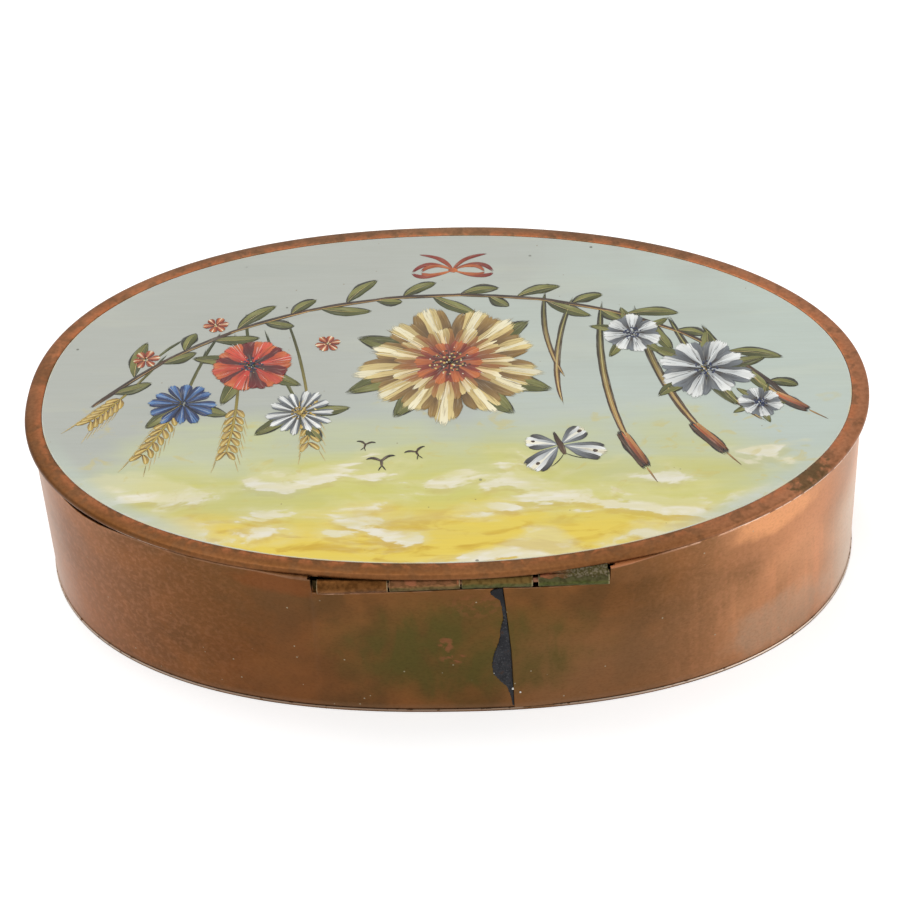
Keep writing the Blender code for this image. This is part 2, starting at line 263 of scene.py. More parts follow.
def soft_lamp(name, place, size, power):
    lamp = bpy.data.lights.new(name, "AREA")
    lamp.shape = "DISK"
    lamp.size = size
    lamp.energy = power
    holder = bpy.data.objects.new(name, lamp)
    bpy.context.scene.collection.objects.link(holder)
    turned = Vector(place).to_track_quat("Z", "Y").to_matrix().to_4x4()
    holder.matrix_world = Matrix.Translation(place) @ turned


soft_lamp("lamp_high", (0.5, -0.7, 1.9), 1.1, 11.0)
soft_lamp("lamp_right", (-1.6, 0.7, 0.9), 0.9, 5.0)
bpy.context.scene.view_settings.view_transform = "Standard"
print("floor, world and", len(bpy.data.lights), "lamps ready")

# %% [markdown]
# ## The shape of an oval
# Lid, wall and base are squared ellipses, a little fuller than a true ellipse, as sheet bent by hand often
# is. The same rule as in the model names a point of the outline by its turn round the middle, and can move
# it square to the outline, which keeps a border even in width where a scaled copy would not.

# %% Ovals
class Oval:
    """A squared ellipse. A point of it is named by its turn, an angle that grows from +X towards +Y."""

    def __init__(self, length, width, squareness_shares, centre_y=0.0):
        self.half_length = length / 2
        self.half_width = width / 2
        self.squareness_shares = squareness_shares
        self.centre_y = centre_y

    def exponent(self, towards_x):
        return 2 + self.squareness_shares[0 if towards_x > 0 else 1]

    def normal(self, turn):
        power = 2 - 2 / self.exponent(math.cos(turn))
        across = math.copysign(abs(math.cos(turn)) ** power, math.cos(turn)) / self.half_length
        along = math.copysign(abs(math.sin(turn)) ** power, math.sin(turn)) / self.half_width
        return Vector((across, along)).normalized()

    def point(self, turn, inset=0.0):
        power = 2 / self.exponent(math.cos(turn))
        x = math.copysign(abs(math.cos(turn)) ** power, math.cos(turn)) * self.half_length
        y = math.copysign(abs(math.sin(turn)) ** power, math.sin(turn)) * self.half_width
        return Vector((x, y + self.centre_y)) - self.normal(turn) * inset

    def turn_at_back(self, x):
        share = (abs(x) / self.half_length) ** (self.exponent(x) / 2)
        return math.acos(math.copysign(share, x))


LID_OVAL = Oval(0.200, 0.130, (0.21, 0.05))
BASE_OVAL = Oval(0.1964, 0.1282, (0.30, 0.30), 0.0009)
TOP_OVAL = Oval(0.1964, 0.1282, (0.25, 0.08), 0.0009)
TURN_COUNT = 576
TURN_STEP = 2 * math.pi / TURN_COUNT
EVEN_TURNS = [TURN_STEP * (step + 0.5) for step in range(TURN_COUNT)]
edge_lengths = [(LID_OVAL.point(turn) - LID_OVAL.point(turn + TURN_STEP)).length for turn in EVEN_TURNS]
print("the lid's edge is", round(sum(edge_lengths) / MM), "mm round")

# %% [markdown]
# ## Pulling a form from a ring
# A plate or a wall with an oval outline is one ring of corners, pulled from level to level: up the outside,
# over the edge, and down the inside. Each corner remembers which turn it belongs to, so every pulled copy can
# be set exactly on the outline. A mark is kept at each level too, to tell a finish where an edge is, for its
# wear and its painted highlight.

# %% Ring tools
def pull_rings(turns, levels, ends):
    """A level is a rule that gives a corner's place for its turn, and a mark. Ends are capped or joined."""
    shape = bmesh.new()
    step = shape.verts.layers.int.new("step")
    mark = shape.verts.layers.float.new("mark")
    bmesh.ops.create_circle(shape, cap_ends=False, segments=len(turns), radius=1)
    ring = sorted(shape.verts, key=lambda corner: math.atan2(corner.co.y, corner.co.x) % (2 * math.pi))
    for index, corner in enumerate(ring):
        corner[step] = index
    first_edges = edges = shape.edges[:]
    rules = levels + levels[:1] if ends == "joined" else levels
    for number, (rule, edge_mark) in enumerate(rules):
        if number:
            pulled = bmesh.ops.extrude_edge_only(shape, edges=edges)["geom"]
            ring = [part for part in pulled if isinstance(part, bmesh.types.BMVert)]
            fresh = set(ring)
            edges = [
                part for part in pulled
                if isinstance(part, bmesh.types.BMEdge) and fresh.issuperset(part.verts)
            ]
        for corner in ring:
            corner.co = rule(turns[corner[step]])
            corner[mark] = edge_mark
    if ends == "joined":
        bmesh.ops.remove_doubles(shape, verts=shape.verts, dist=0.000001)
    else:
        bmesh.ops.edgeloop_fill(shape, edges=first_edges)
        bmesh.ops.edgeloop_fill(shape, edges=edges)
    bmesh.ops.recalc_face_normals(shape, faces=shape.faces)
    return shape


def keep_piece(name, shape, material, body, stands_for=None, sharp=35):
    """Turns a bmesh into a finished piece that rides on its body."""
    mesh = bpy.data.meshes.new(name)
    shape.to_mesh(mesh)
    shape.free()
    mesh.shade_smooth()
    mesh.set_sharp_from_angle(angle=math.radians(sharp))
    mesh.materials.append(material)
    piece = bpy.data.objects.new(name, mesh)
    bpy.context.scene.collection.objects.link(piece)
    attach(piece, body)
    if stands_for:
        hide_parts(stands_for)
    print(name, "has", len(mesh.polygons), "faces")
    return piece


def flat_level(oval, inset_mm, height_mm, edge_mark=0.0):
    """A level that runs round the outline at one inset and one height."""
    return (lambda turn: Vector((*oval.point(turn, inset_mm * MM), height_mm * MM)), edge_mark)


# %% [markdown]
# ## Worn copper
# Bare copper darkens to brown and keeps patches of orange and olive green. It is a metal, so its base colour
# is what it mirrors. The mottling comes from three sizes of cloudy noise, and fine drawn-out noise gives the
# marks of rubbing along the sheet. The wall is darkest and greenest by the seam, where it was heated and
# soldered. Its -X end is painted bright, with streaks of sheen: a painted reflection of a soft lamp.

# %% The wall's copper
DARK_COPPER = (0.112, 0.052, 0.017)
BROWN_COPPER = (0.178, 0.076, 0.024)
ORANGE_COPPER = (0.265, 0.098, 0.029)
OLIVE_COPPER = (0.082, 0.067, 0.016)
LAMP_REFLECTION_COPPER = (0.560, 0.262, 0.128)
RED_COPPER = (0.270, 0.088, 0.046)
LINT = (0.42, 0.37, 0.26)

wall = Finish("worn_copper", Metallic=1.0)
clouds = wall.noise(26, 4.0, warp=0.6)
blots = wall.noise(8, 6.0, warp=0.5, seed=3.0)
grain = wall.noise(0.55, 3.0, stretch=(0.7, 0.7, 1.2), seed=9.0)
rubbing = wall.noise(2.2, 4.0, stretch=(0.12, 0.12, 2.2), seed=5.0)
wall.colour = wall.mix(clouds.between(0.35, 0.65), DARK_COPPER, BROWN_COPPER)
wall.coat(blots.between(0.42, 0.74) * 0.35, ORANGE_COPPER)
low = 1 - wall.z.between(2, 17)
right_half = (0 - wall.x).between(6, 26)
wall.coat(low * blots.between(0.3, 0.6) * 0.35, ORANGE_COPPER)
# Painted reflection: the lower part of the -X half is painted lighter.
wall.coat(right_half * (1 - wall.z.between(12, 34)) * 0.5, (0.250, 0.125, 0.058))
wall.coat(wall.patch((38, 0, 14), (20, 0, 24), 0.6, 9.0) * 0.35, (0.150, 0.047, 0.012))
at_back = wall.y.between(30, 50)
smudges = wall.noise(9, 5.0, stretch=(1.3, 1, 0.55), warp=0.8, seed=17.0)
green = wall.patch((-4, 0, 19), (36, 0, 19), 1.1, 8.0) * at_back
wall.coat(green * (0.4 + smudges.between(0.35, 0.62) * 0.5), OLIVE_COPPER)
# Darker patches on the hinge side.
darker_patches = wall.patch((48, 0, 31), (19, 0, 16), 0.6, 12.0) * 0.7
darker_patches = darker_patches.or_more(wall.patch((-54, 0, 36), (13, 0, 7), 0.5, 9.0) * 0.2)
print("wall colours mixed")

# %% Heated places and painted reflections
torn = wall.noise(1.5, 5.0, stretch=(0.8, 1, 0.8), warp=0.3, seed=21.0).between(0.49, 0.58)
heated = wall.patch((-8, 0, 33.5), (9, 0, 4.5), 0.8, 3.0) * torn * 0.22
specks = wall.patch((-0.7, 0, 21.5), (2.2, 0, 3.4), 0.5, 2.0)
specks = specks.or_more(wall.patch((-2.4, 0, 17.2), (3.8, 0, 1.9), 0.5, 2.0))
wall.coat(heated.or_more(specks * torn * 0.55) * at_back, RED_COPPER)
# Painted reflection: the -X end is painted bright, with painted sheen in streaks and in a patch near the top.
even = wall.noise(17, 2.0, seed=30.0).between(0.35, 0.65)
lamp_reflection = (0 - wall.x).between(42, 86) * (0.62 + even * 0.38)
wall.coat(lamp_reflection, LAMP_REFLECTION_COPPER)
wall.coat(wall.x.between(60, 92) * 0.5, (0.440, 0.165, 0.055))
stripes = wall.noise(3.2, 2.0, stretch=(1, 1, 0.07), seed=33.0).between(0.45, 0.68)
sheen_patch = wall.patch((-80, 42, 36), (22, 30, 13), 1.0, 11.0)
wall.coat((sheen_patch * 0.3).or_more(stripes * lamp_reflection * 0.35), (0.74, 0.31, 0.15))
darker_spot = wall.patch((-70, 0, 31), (10, 0, 8), 0.7, 7.0) * 0.28
wall.coat(darker_patches.or_more(darker_spot) * at_back, DARK_COPPER)
# Stains, and near the -X end bright painted highlights, with a pale painted reflection low down.
STAINS_AND_HIGHLIGHTS = (
    ((36, 0, 39), (13, 0, 4), 0.5, (0.200, 0.055, 0.013)),
    ((-48, 0, 39), (14, 0, 5), 0.15, (0.40, 0.17, 0.07)),
    ((-75, 0, 39), (13, 0, 4.5), 0.5, (0.90, 0.42, 0.19)),
    ((-77, 0, 8), (16, 0, 9), 0.4, (0.40, 0.31, 0.23)),
    ((86, 0, 26), (9, 0, 11), 0.45, (0.170, 0.075, 0.028)),
    ((-16, 0, 14), (9, 0, 12), 0.2, (0.130, 0.075, 0.026)),
    ((-57, 0, 18), (9, 0, 20), 0.2, (0.150, 0.070, 0.028)),
    ((66, 0, 22), (32, 0, 30), 0.3, (0.215, 0.066, 0.012)),
)
for middle, half, share, tone in STAINS_AND_HIGHLIGHTS:
    wall.coat(wall.patch(middle, half, 1.2, 4.5) * wall.y.between(0, 10) * share, tone)
# Painted reflection: both ends of the wall are painted pale, most of all low down at the -X end.
end_reflection = wall.x.size().between(86, 97) * wall.y.between(0, 20)
lower_end_reflection = right_half * (1 - wall.z.between(20, 34)) * 0.8
pale_highlight_tone = wall.mix(right_half, (0.63, 0.53, 0.46), (0.62, 0.48, 0.37))
wall.coat(end_reflection * (0.3 - right_half * 0.15 + lower_end_reflection), pale_highlight_tone)
wall.coat((1 - wall.z.between(0.9, 3.0)) * 0.35, (0.27, 0.16, 0.095))
freckles = wall.noise(1.1, 7.0, warp=0.2, seed=41.0).between(0.42, 0.70) * wall.x.size().between(30, 76)
wall.coat(freckles * 0.16, (0.62, 0.27, 0.15))
dimmer = wall.mix(grain.between(0.25, 0.6), (0.80, 0.79, 0.75), (0.93, 0.93, 0.90))
wall.coat(1.0, dimmer, "MULTIPLY")
print("heated, held and rubbed places mixed")

# %% The wall's top edge
edge_mark = wall.node("Attribute", {"attribute_name": "mark"}, {}, "Fac")
# The worn top edge is painted pale. The pale line is also a painted highlight, strongest near the -X end.
wear_and_highlight = (0 - wall.x).between(44, 60) * 0.45 + 0.12 + wall.x.between(84, 92) * 0.6
wear_and_highlight = wear_and_highlight + wall.patch((23, 0, 0), (6, 0, 0), 0.4, 2.0) * at_back * 0.4
scraped = wall.noise(3.0, 4.0, seed=14.0).between(0.38, 0.56)
wall.coat(edge_mark * scraped * wear_and_highlight, (0.74, 0.46, 0.33))
beside_hinge = wall.x.size().between(28.0, 28.6) * (1 - wall.x.size().between(46, 55)) * at_back
ledge = edge_mark * wall.z.between(41.2, 41.4) * beside_hinge
ledge_tone = wall.mix((0 - wall.x).between(48, 40), (0.28, 0.112, 0.038), (0.45, 0.160, 0.052))
ledge_tone = wall.mix(right_half, wall.mix(scraped, (0.18, 0.070, 0.018), (0.27, 0.115, 0.040)), ledge_tone)
wall.coat(ledge * 0.9, ledge_tone)
# Painted shade: the end of the saddle notch beside the first tube is painted near black.
notch_shade = wall.patch((27.55, 0, 40.5), (0.95, 0, 3.2)) * at_back
wall.coat(notch_shade.between(0.1, 0.5) * 0.95, (0.025, 0.019, 0.006))
lint = wall.specks(3.7, 0.42, 4.0) * wall.noise(13, 1.0, seed=8.0).between(0.42, 0.48)
wall.coat(lint * 0.75, LINT)
rough = 0.34 + grain * 0.08 + blots * 0.1 - rubbing * 0.06 + lint * 0.3
relief = wall.bump(clouds + blots * 0.1, 0.18)
relief = wall.bump(rubbing * 0.6 + grain * 0.15, 0.012, relief)
wall.feed(Base_Color=wall.colour, Roughness=rough, Normal=relief, Metallic=1 - ledge * 0.85)
print("wall finish has", len(wall.tree.nodes), "nodes")

# %% [markdown]
# ## The wall
# The wall is one strip of copper, bent round to an oval and lapped over itself at the back, where its outer
# end stands a little proud. It leans in slightly at its slimmer top. Its top edge is cut with a saddle for
# the hinge tube and sits low near one end. All of that is a matter of where each corner goes, so two extra
# turns lie close together at the seam and at each end of the saddle, and make the sharp steps there.

# %% Where the wall's corners go
# The wall's profile and the seam's course are in millimetres, and the other lengths here in metres.
WALL_FOOT, WALL_TOP, WALL_THICKNESS, EDGE_BREAK = 0.8, 41.53, 1.0, 0.12
FLAT_TOP = WALL_THICKNESS - 2 * EDGE_BREAK
SEAM_COURSE = ((-15.55, 0), (-15.3, 0.36), (-15.15, 0.49), (-14.5, 0.74), (-13.84, 0.98), (-13.8, 1))
SEAM_REACH_TURN = 0.25
SEAM_TURN = BASE_OVAL.turn_at_back(-0.0159)
SEAM_LIP_TURN = BASE_OVAL.turn_at_back(-0.0160)
AXIS_PLACE = Vector((-0.0051, 0.0634, 0.0396))
AXIS_ALONG = Vector((math.cos(math.radians(1.8)), math.sin(math.radians(1.8))))
AXIS_ACROSS = Vector((-AXIS_ALONG.y, AXIS_ALONG.x))
SADDLE_RADIUS = 0.00176
SADDLE_ENDS = (-0.0323, 0.0333)
LAP_STEP, LAP_FADE = 0.0003, 0.015
DIP_PLACE = TOP_OVAL.point(math.radians(34.5))
DIP_DEPTH, DIP_REACH = 0.0015, 0.020
DRAWN_OUT_BY = 0.0011
DRAWN_OUT = ((0.009, 0.026, 0.029, 0.042), (0.014, 0.034, 0.038, 0.052))


def eased(share):
    """A share from 0 to 1, with a soft start and a soft end."""
    return share * share * (3 - 2 * share)


def lap_step(turn):
    """How far the lapped end stands out: its full step at the seam, fading to nothing further along."""
    past = BASE_OVAL.point(SEAM_TURN).x - BASE_OVAL.point(turn).x
    if turn <= SEAM_TURN or turn > math.pi or past > LAP_FADE:
        return 0.0
    return LAP_STEP * (1 - eased(past / LAP_FADE))


def wall_top_height(place, turn):
    """The top edge is level, but for the dip near one end and the saddle under the hinge."""
    from_axis = place - AXIS_PLACE.xy
    along, across = from_axis.dot(AXIS_ALONG), from_axis.dot(AXIS_ACROSS)
    if place.y > 0 and SADDLE_ENDS[0] < along < SADDLE_ENDS[1]:
        return AXIS_PLACE.z - math.sqrt(max(SADDLE_RADIUS ** 2 - across ** 2, 0))
    apart = min((TOP_OVAL.point(turn) - DIP_PLACE).length / DIP_REACH, 1)
    return WALL_TOP * MM - DIP_DEPTH * math.cos(math.pi / 2 * apart) ** 2


def seam_at(share):
    """Where the seam runs, in millimetres along X, at this share of the wall's height."""
    for (low, start), (high, end) in zip(SEAM_COURSE, SEAM_COURSE[1:]):
        if share <= end:
            return low + (high - low) * (share - start) / (end - start)
    return SEAM_COURSE[-1][0]


def wall_place(turn, inset_mm, share, below_mm=0.0, outside=True):
    """A corner between the foot, at share 0, and the top edge, at share 1."""
    inset = inset_mm * MM - (lap_step(turn) if outside else 0)
    from_seam = min(abs(turn - SEAM_TURN) / SEAM_REACH_TURN, 1)
    straight = BASE_OVAL.point(SEAM_TURN).lerp(TOP_OVAL.point(SEAM_TURN), share).x
    turn -= (seam_at(share) * MM - straight) / BASE_OVAL.half_length * (1 - from_seam) ** 2
    foot = BASE_OVAL.point(turn, inset)
    top = TOP_OVAL.point(turn, inset)
    start, full, waning, end = DRAWN_OUT[0 if top.x > 0 else 1]
    drawn = min((abs(top.x) - start) / (full - start), (end - abs(top.x)) / (end - waning), 1)
    if top.y > TOP_OVAL.centre_y and drawn > 0:
        from_inside = min(max((WALL_THICKNESS - EDGE_BREAK - inset_mm) / FLAT_TOP, 0), 1)
        top.y += DRAWN_OUT_BY * eased(drawn) * from_inside
    height = wall_top_height(top, turn) - below_mm * MM
    return Vector((*foot, WALL_FOOT * MM)).lerp(Vector((*top, height)), share)


print("the saddle's floor is at", round(wall_top_height(AXIS_PLACE.xy, math.pi / 2) / MM, 2), "mm")

# %% Pull the wall
saddle_turns = []
for end in SADDLE_ENDS:
    for nudge in (-0.00004, 0.00004):
        saddle_turns.append(TOP_OVAL.turn_at_back((AXIS_PLACE.xy + AXIS_ALONG * (end + nudge)).x))
close_turns = [SEAM_TURN, SEAM_LIP_TURN, *saddle_turns]
wall_turns = sorted(close_turns + [
    turn for turn in EVEN_TURNS if min(abs(turn - close) for close in close_turns) > TURN_STEP / 2
])


def wall_level(inset_mm, share, below_mm=0.0, outside=True, edge_mark=0.0):
    return (lambda turn: wall_place(turn, inset_mm, share, below_mm, outside), edge_mark)


levels = [wall_level(EDGE_BREAK, 0.0), wall_level(0.0, 0.004)]
levels += [wall_level(0.0, share / 10) for share in range(1, 10)]
levels += [
    wall_level(0.0, 1.0, 0.5),
    wall_level(0.0, 1.0, EDGE_BREAK, edge_mark=1.0),
    wall_level(EDGE_BREAK, 1.0, edge_mark=1.0),
]
levels += [wall_level(EDGE_BREAK + FLAT_TOP * step / 4, 1.0, 0.0, False, 1.0) for step in (1, 2, 3, 4)]
levels += [
    wall_level(WALL_THICKNESS, 1.0, EDGE_BREAK, False, 0.5),
    wall_level(WALL_THICKNESS, 1.0, 0.6, False),
    wall_level(WALL_THICKNESS, 0.5, 0.0, False),
    wall_level(WALL_THICKNESS, 0.0, 0.0, False),
]
wall_shape = pull_rings(wall_turns, levels, "joined")
keep_piece("wall_sheet", wall_shape, wall.material, "body", "body_wall", 28)

# %% [markdown]
# ## The base
# The base is a flat sheet cut a hair larger than the wall and soldered to it from inside. Its upper corner is
# painted as a thin pale line of wear and painted highlight, above a lower corner painted dark as painted shade.

# %% Base plate
plate = Finish("base_copper", Metallic=1.0, Roughness=0.42)
blots = plate.noise(9, 4.0)
plate.colour = plate.mix(blots.between(0.3, 0.7), DARK_COPPER, BROWN_COPPER)
chips = plate.noise(1.6, 4.0, seed=2.0)
on_edge = plate.node("Attribute", {"attribute_name": "mark"}, {}, "Fac")
# Painted highlight and wear: a pale, broken line along the plate's upper corner.
highlight_and_wear_line = on_edge * plate.z.between(0.36, 0.50) * chips.between(0.3, 0.42)
gap_in_line = plate.patch((-21.5, 63, 0.7), (5.6, 6, 0), 0.3)
towards_ends = (0 - plate.x).between(10, 80).or_more(plate.x.between(30, 90) * 0.6)
pale_highlight_tone = plate.mix(towards_ends, (0.27, 0.185, 0.130), (0.62, 0.51, 0.42))
plate.coat(highlight_and_wear_line * (1 - gap_in_line * 0.8), pale_highlight_tone)
# Painted shade: the lower corner is painted dark, with dark flecks just below the top, where the wall stands.
crumbs = plate.z.between(0.70, 0.78) * chips.between(0.44, 0.38) * (1 - plate.x.size().between(15, 70) * 0.8)
dirt_and_shade = ((1 - plate.z.between(0.1, 0.34)) * (0.6 - towards_ends * 0.35)).or_more(crumbs * 0.8)
plate.coat(dirt_and_shade * on_edge, (0.045, 0.030, 0.020))
rough = 0.36 + blots * 0.14
plate.feed(Base_Color=plate.colour, Roughness=rough, Normal=plate.bump(blots, 0.05))
plate_levels = [
    flat_level(BASE_OVAL, -0.15, 0.0),
    flat_level(BASE_OVAL, -0.3, 0.12, 1.0),
    flat_level(BASE_OVAL, -0.3, 0.68, 1.0),
    flat_level(BASE_OVAL, -0.18, 0.8, 1.0),
    flat_level(BASE_OVAL, 0.3, 0.8),
    flat_level(BASE_OVAL, 1.6, 0.8),
]
plate_shape = pull_rings(EVEN_TURNS, plate_levels, "capped")
keep_piece("base_sheet", plate_shape, plate.material, "body", "base_plate")

# %% [markdown]
# ## The lid's border
# The lid is one sheet whose border stands up round a sunk field. The border is slightly crowned, its outer
# edge is rounded by filing, and its inner lip meets the paint. A mark runs across it from 0 at the outer edge
# to 1 at the lip, so that the finish can be darker outside and redder and blotched along the paint.

# %% Border copper
border = Finish("border_copper", Metallic=1.0)
across = border.node("Attribute", {"attribute_name": "mark"}, {}, "Fac")
clouds = border.noise(14, 4.0, seed=1.0)
blots = border.noise(3.2, 5.0, warp=0.4, seed=6.0)
grain = border.noise(0.9, 2.0, seed=2.0)
border.colour = border.mix(clouds.between(0.35, 0.65), (0.215, 0.088, 0.036), (0.305, 0.128, 0.058))
near_hinge = border.y.between(38, 62)
border.coat(near_hinge * 0.75, (0.178, 0.074, 0.024))
border.coat(near_hinge * border.x.between(-16, 12) * 0.45, (0.105, 0.038, 0.008))
turned_edge = border.z.between(42.92, 42.80) * border.z.between(42.30, 42.55)
low_face = turned_edge * (0.55 - (0 - border.x).between(10, 30) * 0.35) + border.z.between(42.50, 42.30) * 0.3
border.coat(low_face * near_hinge, (0.300, 0.124, 0.046))
left_near = border.x.between(52, 80) * border.y.between(2, 22) * (1 - across * 0.7)
border.coat(left_near * 0.75, (0.110, 0.042, 0.008))
far_side = (0 - border.y).between(20, 58)
in_middle = 1 - border.x.size().between(4, 22)
border.coat(far_side * (0.3 + in_middle * 0.25), (0.285, 0.168, 0.088))
darker_far = far_side * (1 - in_middle) * (1 - border.x.size().between(56, 84))
border.coat(darker_far * 0.35, (0.115, 0.066, 0.040))
right_end = (0 - border.x).between(44, 84)
border.coat(right_end * 0.6, (0.425, 0.184, 0.094))
red = across.between(0.35, 0.95) * blots.between(0.42, 0.6)
border.coat(red * 0.6, (0.420, 0.140, 0.055))
border.coat(blots.between(0.52, 0.36) * 0.45, (0.125, 0.062, 0.028))
border.coat(border.patch((99, 7, 0), (4, 9, 0), 0.6) * 0.45, (0.125, 0.060, 0.026))
tarnish = border.patch((-82.5, 33, 0), (6, 9.5, 0), 3.4, 1.6)
border.coat(tarnish * 0.75, (0.085, 0.064, 0.028))
border.coat(0.5, border.mix(grain.between(0.3, 0.7), (0.6, 0.56, 0.52), (1, 1, 1)), "MULTIPLY")
# Painted highlight: a pale line along the lid's lower outer corner, mostly at the -X end.
corner_highlight = border.z.between(41.575, 41.60) * (1 - border.z.between(41.78, 41.92))
corner_highlight = corner_highlight * (0.5 - across).between(0.3, 0.5) * border.y.between(-10, 10)
corner_highlight_places = (0 - border.x).between(62, 68) + border.x.between(56, 64) * border.x.between(76, 72) * 0.3
border.coat(corner_highlight * corner_highlight_places * border.noise(2.0, 4.0, seed=27.0).between(0.36, 0.5), (0.82, 0.66, 0.54))
rough = 0.38 + blots * 0.14 + grain * 0.08
relief = border.bump(clouds, 0.1)
relief = border.bump(blots * 0.6 + grain * 0.4, 0.03, relief)
border.feed(Base_Color=border.colour, Roughness=rough, Normal=relief)

# %% Pull the lid
lid_profile = [
    (2.0, 41.57, 0.0), (0.16, 41.57, 0.0), (0.05, 41.60, 0.0), (0.0, 41.68, 0.0), (0.0, 42.10, 0.0),
    (0.02, 42.32, 0.0), (0.09, 42.52, 0.02), (0.22, 42.68, 0.05), (0.42, 42.80, 0.10), (0.7, 42.89, 0.17),
    (1.1, 42.95, 0.27), (1.7, 42.985, 0.41), (2.4, 43.0, 0.59), (3.1, 42.995, 0.76), (3.6, 42.975, 0.88),
    (3.9, 42.94, 0.95), (4.04, 42.86, 1.0), (4.1, 42.35, 1.0), (5.0, 42.35, 1.0),
]
lid_shape = pull_rings(EVEN_TURNS, [flat_level(LID_OVAL, *row) for row in lid_profile], "capped")
keep_piece("lid_border", lid_shape, border.material, "lid", "lid_sheet", 40)

# %% [markdown]
# ## The painted ground
# The field was given a pale undercoat and then a sky in oils: cool grey-blue that turns yellow-green and
# yellow towards the hinge. The colours blend by place, bent by noise that is stretched along the lid, which
# is how dragged paint looks. Clouds are heaps in one more noise: each is lit along its side towards the
# hinge, shaded with ochre just beyond, and fades into haze behind. Reading the same noise a little nearer the
# hinge tells where such an edge lies. The undercoat shows as a thin cream line round the edge, so the mark
# across this piece is the distance from its rim in millimetres.

# %% Sky paint
SKY_GREY = (0.450, 0.465, 0.420)
SKY_COOL = (0.505, 0.568, 0.512)
SKY_GREEN = (0.540, 0.570, 0.355)
YELLOW_GREEN = (0.610, 0.580, 0.165)
YELLOW = (0.780, 0.595, 0.085)
OCHRE = (0.560, 0.330, 0.012)
LIT_CLOUD = (0.840, 0.800, 0.690)
HAZE = (0.740, 0.690, 0.400)

sky = Finish("oil_paint", Specular_IOR_Level=0.35)
drag = (0.22, 1.0, 1.0)
clouds = sky.noise(7, 4.0, stretch=drag, warp=0.5)
wisps = sky.noise(3.4, 5.0, stretch=(0.3, 1.0, 1.0), warp=0.9, seed=4.0)
bristles = sky.noise(0.7, 3.0, stretch=(0.06, 1.0, 1.0), seed=7.0)
patches = sky.noise(24, 4.0, warp=0.4, seed=2.0)
at_ends = sky.x.size().between(58, 88)
towards_hinge = sky.y + (clouds - 0.5) * 20 + (patches - 0.5) * 24 - at_ends * 20
cool = (0 - sky.x) + (patches - 0.5) * 120 + sky.y * 0.6
sky.colour = sky.mix(cool.between(-60, 80), SKY_GREY, SKY_COOL)
sky.coat(towards_hinge.between(3, 24), SKY_GREEN)
sky.coat(towards_hinge.between(18, 36), YELLOW_GREEN)
sky.coat(towards_hinge.between(36, 52), YELLOW)
warm = towards_hinge.between(36, 56) * wisps.between(0.46, 0.66)
sky.coat(warm * 0.7, OCHRE)
print("sky colours mixed")

# %% Clouds blended into the sky
cloud_belt = (sky.y + (patches - 0.5) * 16).between(14, 34) * 0.3 - 0.3


def heaped(moved_mm):
    """How much cloud there is, at this place or so many millimetres nearer the hinge."""
    moved = sky.node("VectorMath", {"operation": "ADD"}, {0: sky.place, 1: (0, moved_mm, 0)})
    return sky.noise(9, 5.0, stretch=(0.42, 1.0, 1.0), place=moved, warp=0.3, seed=31.0) + cloud_belt


cloud = heaped(0)
crisp = cloud.between(0.520, 0.555)
lit = crisp * (1 - heaped(2.8).between(0.49, 0.61))
under = heaped(-2.0).between(0.52, 0.58) * (1 - crisp)
sky.coat(cloud.between(0.42, 0.58) * 0.5, HAZE)
under_colour = sky.mix(towards_hinge.between(26, 50), (0.52, 0.50, 0.20), OCHRE)
sky.coat(under * 0.45, under_colour)
lit_colour = sky.mix(wisps.between(0.40, 0.62), (0.78, 0.72, 0.50), LIT_CLOUD)
sky.coat(lit * 0.9, lit_colour)
print("clouds blended")

# %% Streaks, smudges, speckle and the cream rim
rim = sky.node("Attribute", {"attribute_name": "mark"}, {}, "Fac")
beside_rim = rim.between(5, 1) * sky.x.size().between(44, 66) * sky.y.between(10, 30)
sky.coat(beside_rim * 0.7, (0.500, 0.560, 0.480))
paler = sky.noise(9, 4.0, stretch=drag, warp=0.4, seed=19.0).between(0.5, 0.72) * 0.16
sky.coat(paler, (0.66, 0.67, 0.50))
shade = sky.noise(11, 4.0, stretch=drag, warp=0.4, seed=12.0).between(0.5, 0.72) * 0.14
sky.coat(shade, (0.34, 0.38, 0.34))
smudge = sky.noise(4, 4.0, stretch=(0.7, 1, 1), warp=0.8, seed=24.0).between(0.6, 0.7)
smudge = smudge * sky.y.between(-6, 16) * (1 - sky.y.between(34, 48))
sky.coat(smudge * 0.4, (0.60, 0.49, 0.13))
streaked = sky.mix(bristles.between(0.3, 0.7), (0.97, 0.97, 0.96), (1.0, 1.0, 1.0))
sky.coat(1.0, streaked, "MULTIPLY")
dirt_and_shade = sky.specks(10, 0.85, 2.0) * sky.noise(30, 1.0, seed=15.0).between(0.44, 0.50)
rust = sky.specks(5, 0.4, 8.0) * sky.noise(16, 1.0, seed=18.0).between(0.46, 0.52)
sky.coat(dirt_and_shade * 0.8, (0.10, 0.10, 0.075))
sky.coat(rust * 0.6, (0.22, 0.14, 0.05))
ragged_rim = rim + (sky.noise(1.8, 4.0, seed=3.0) - 0.5) * 0.55
chalk = sky.mix(clouds.between(0.4, 0.6), (0.66, 0.60, 0.40), (0.62, 0.66, 0.60))
sky.coat(ragged_rim.between(0.38, 0.12) * 0.9, chalk)
rough = 0.42 + bristles * 0.12
relief = sky.bump(bristles * 0.3 + wisps * 0.4 + lit * (0.5 + wisps * 0.8), 0.08)
relief = sky.bump(patches, 0.25, relief)
sky.feed(Base_Color=sky.colour, Roughness=rough, Normal=relief)

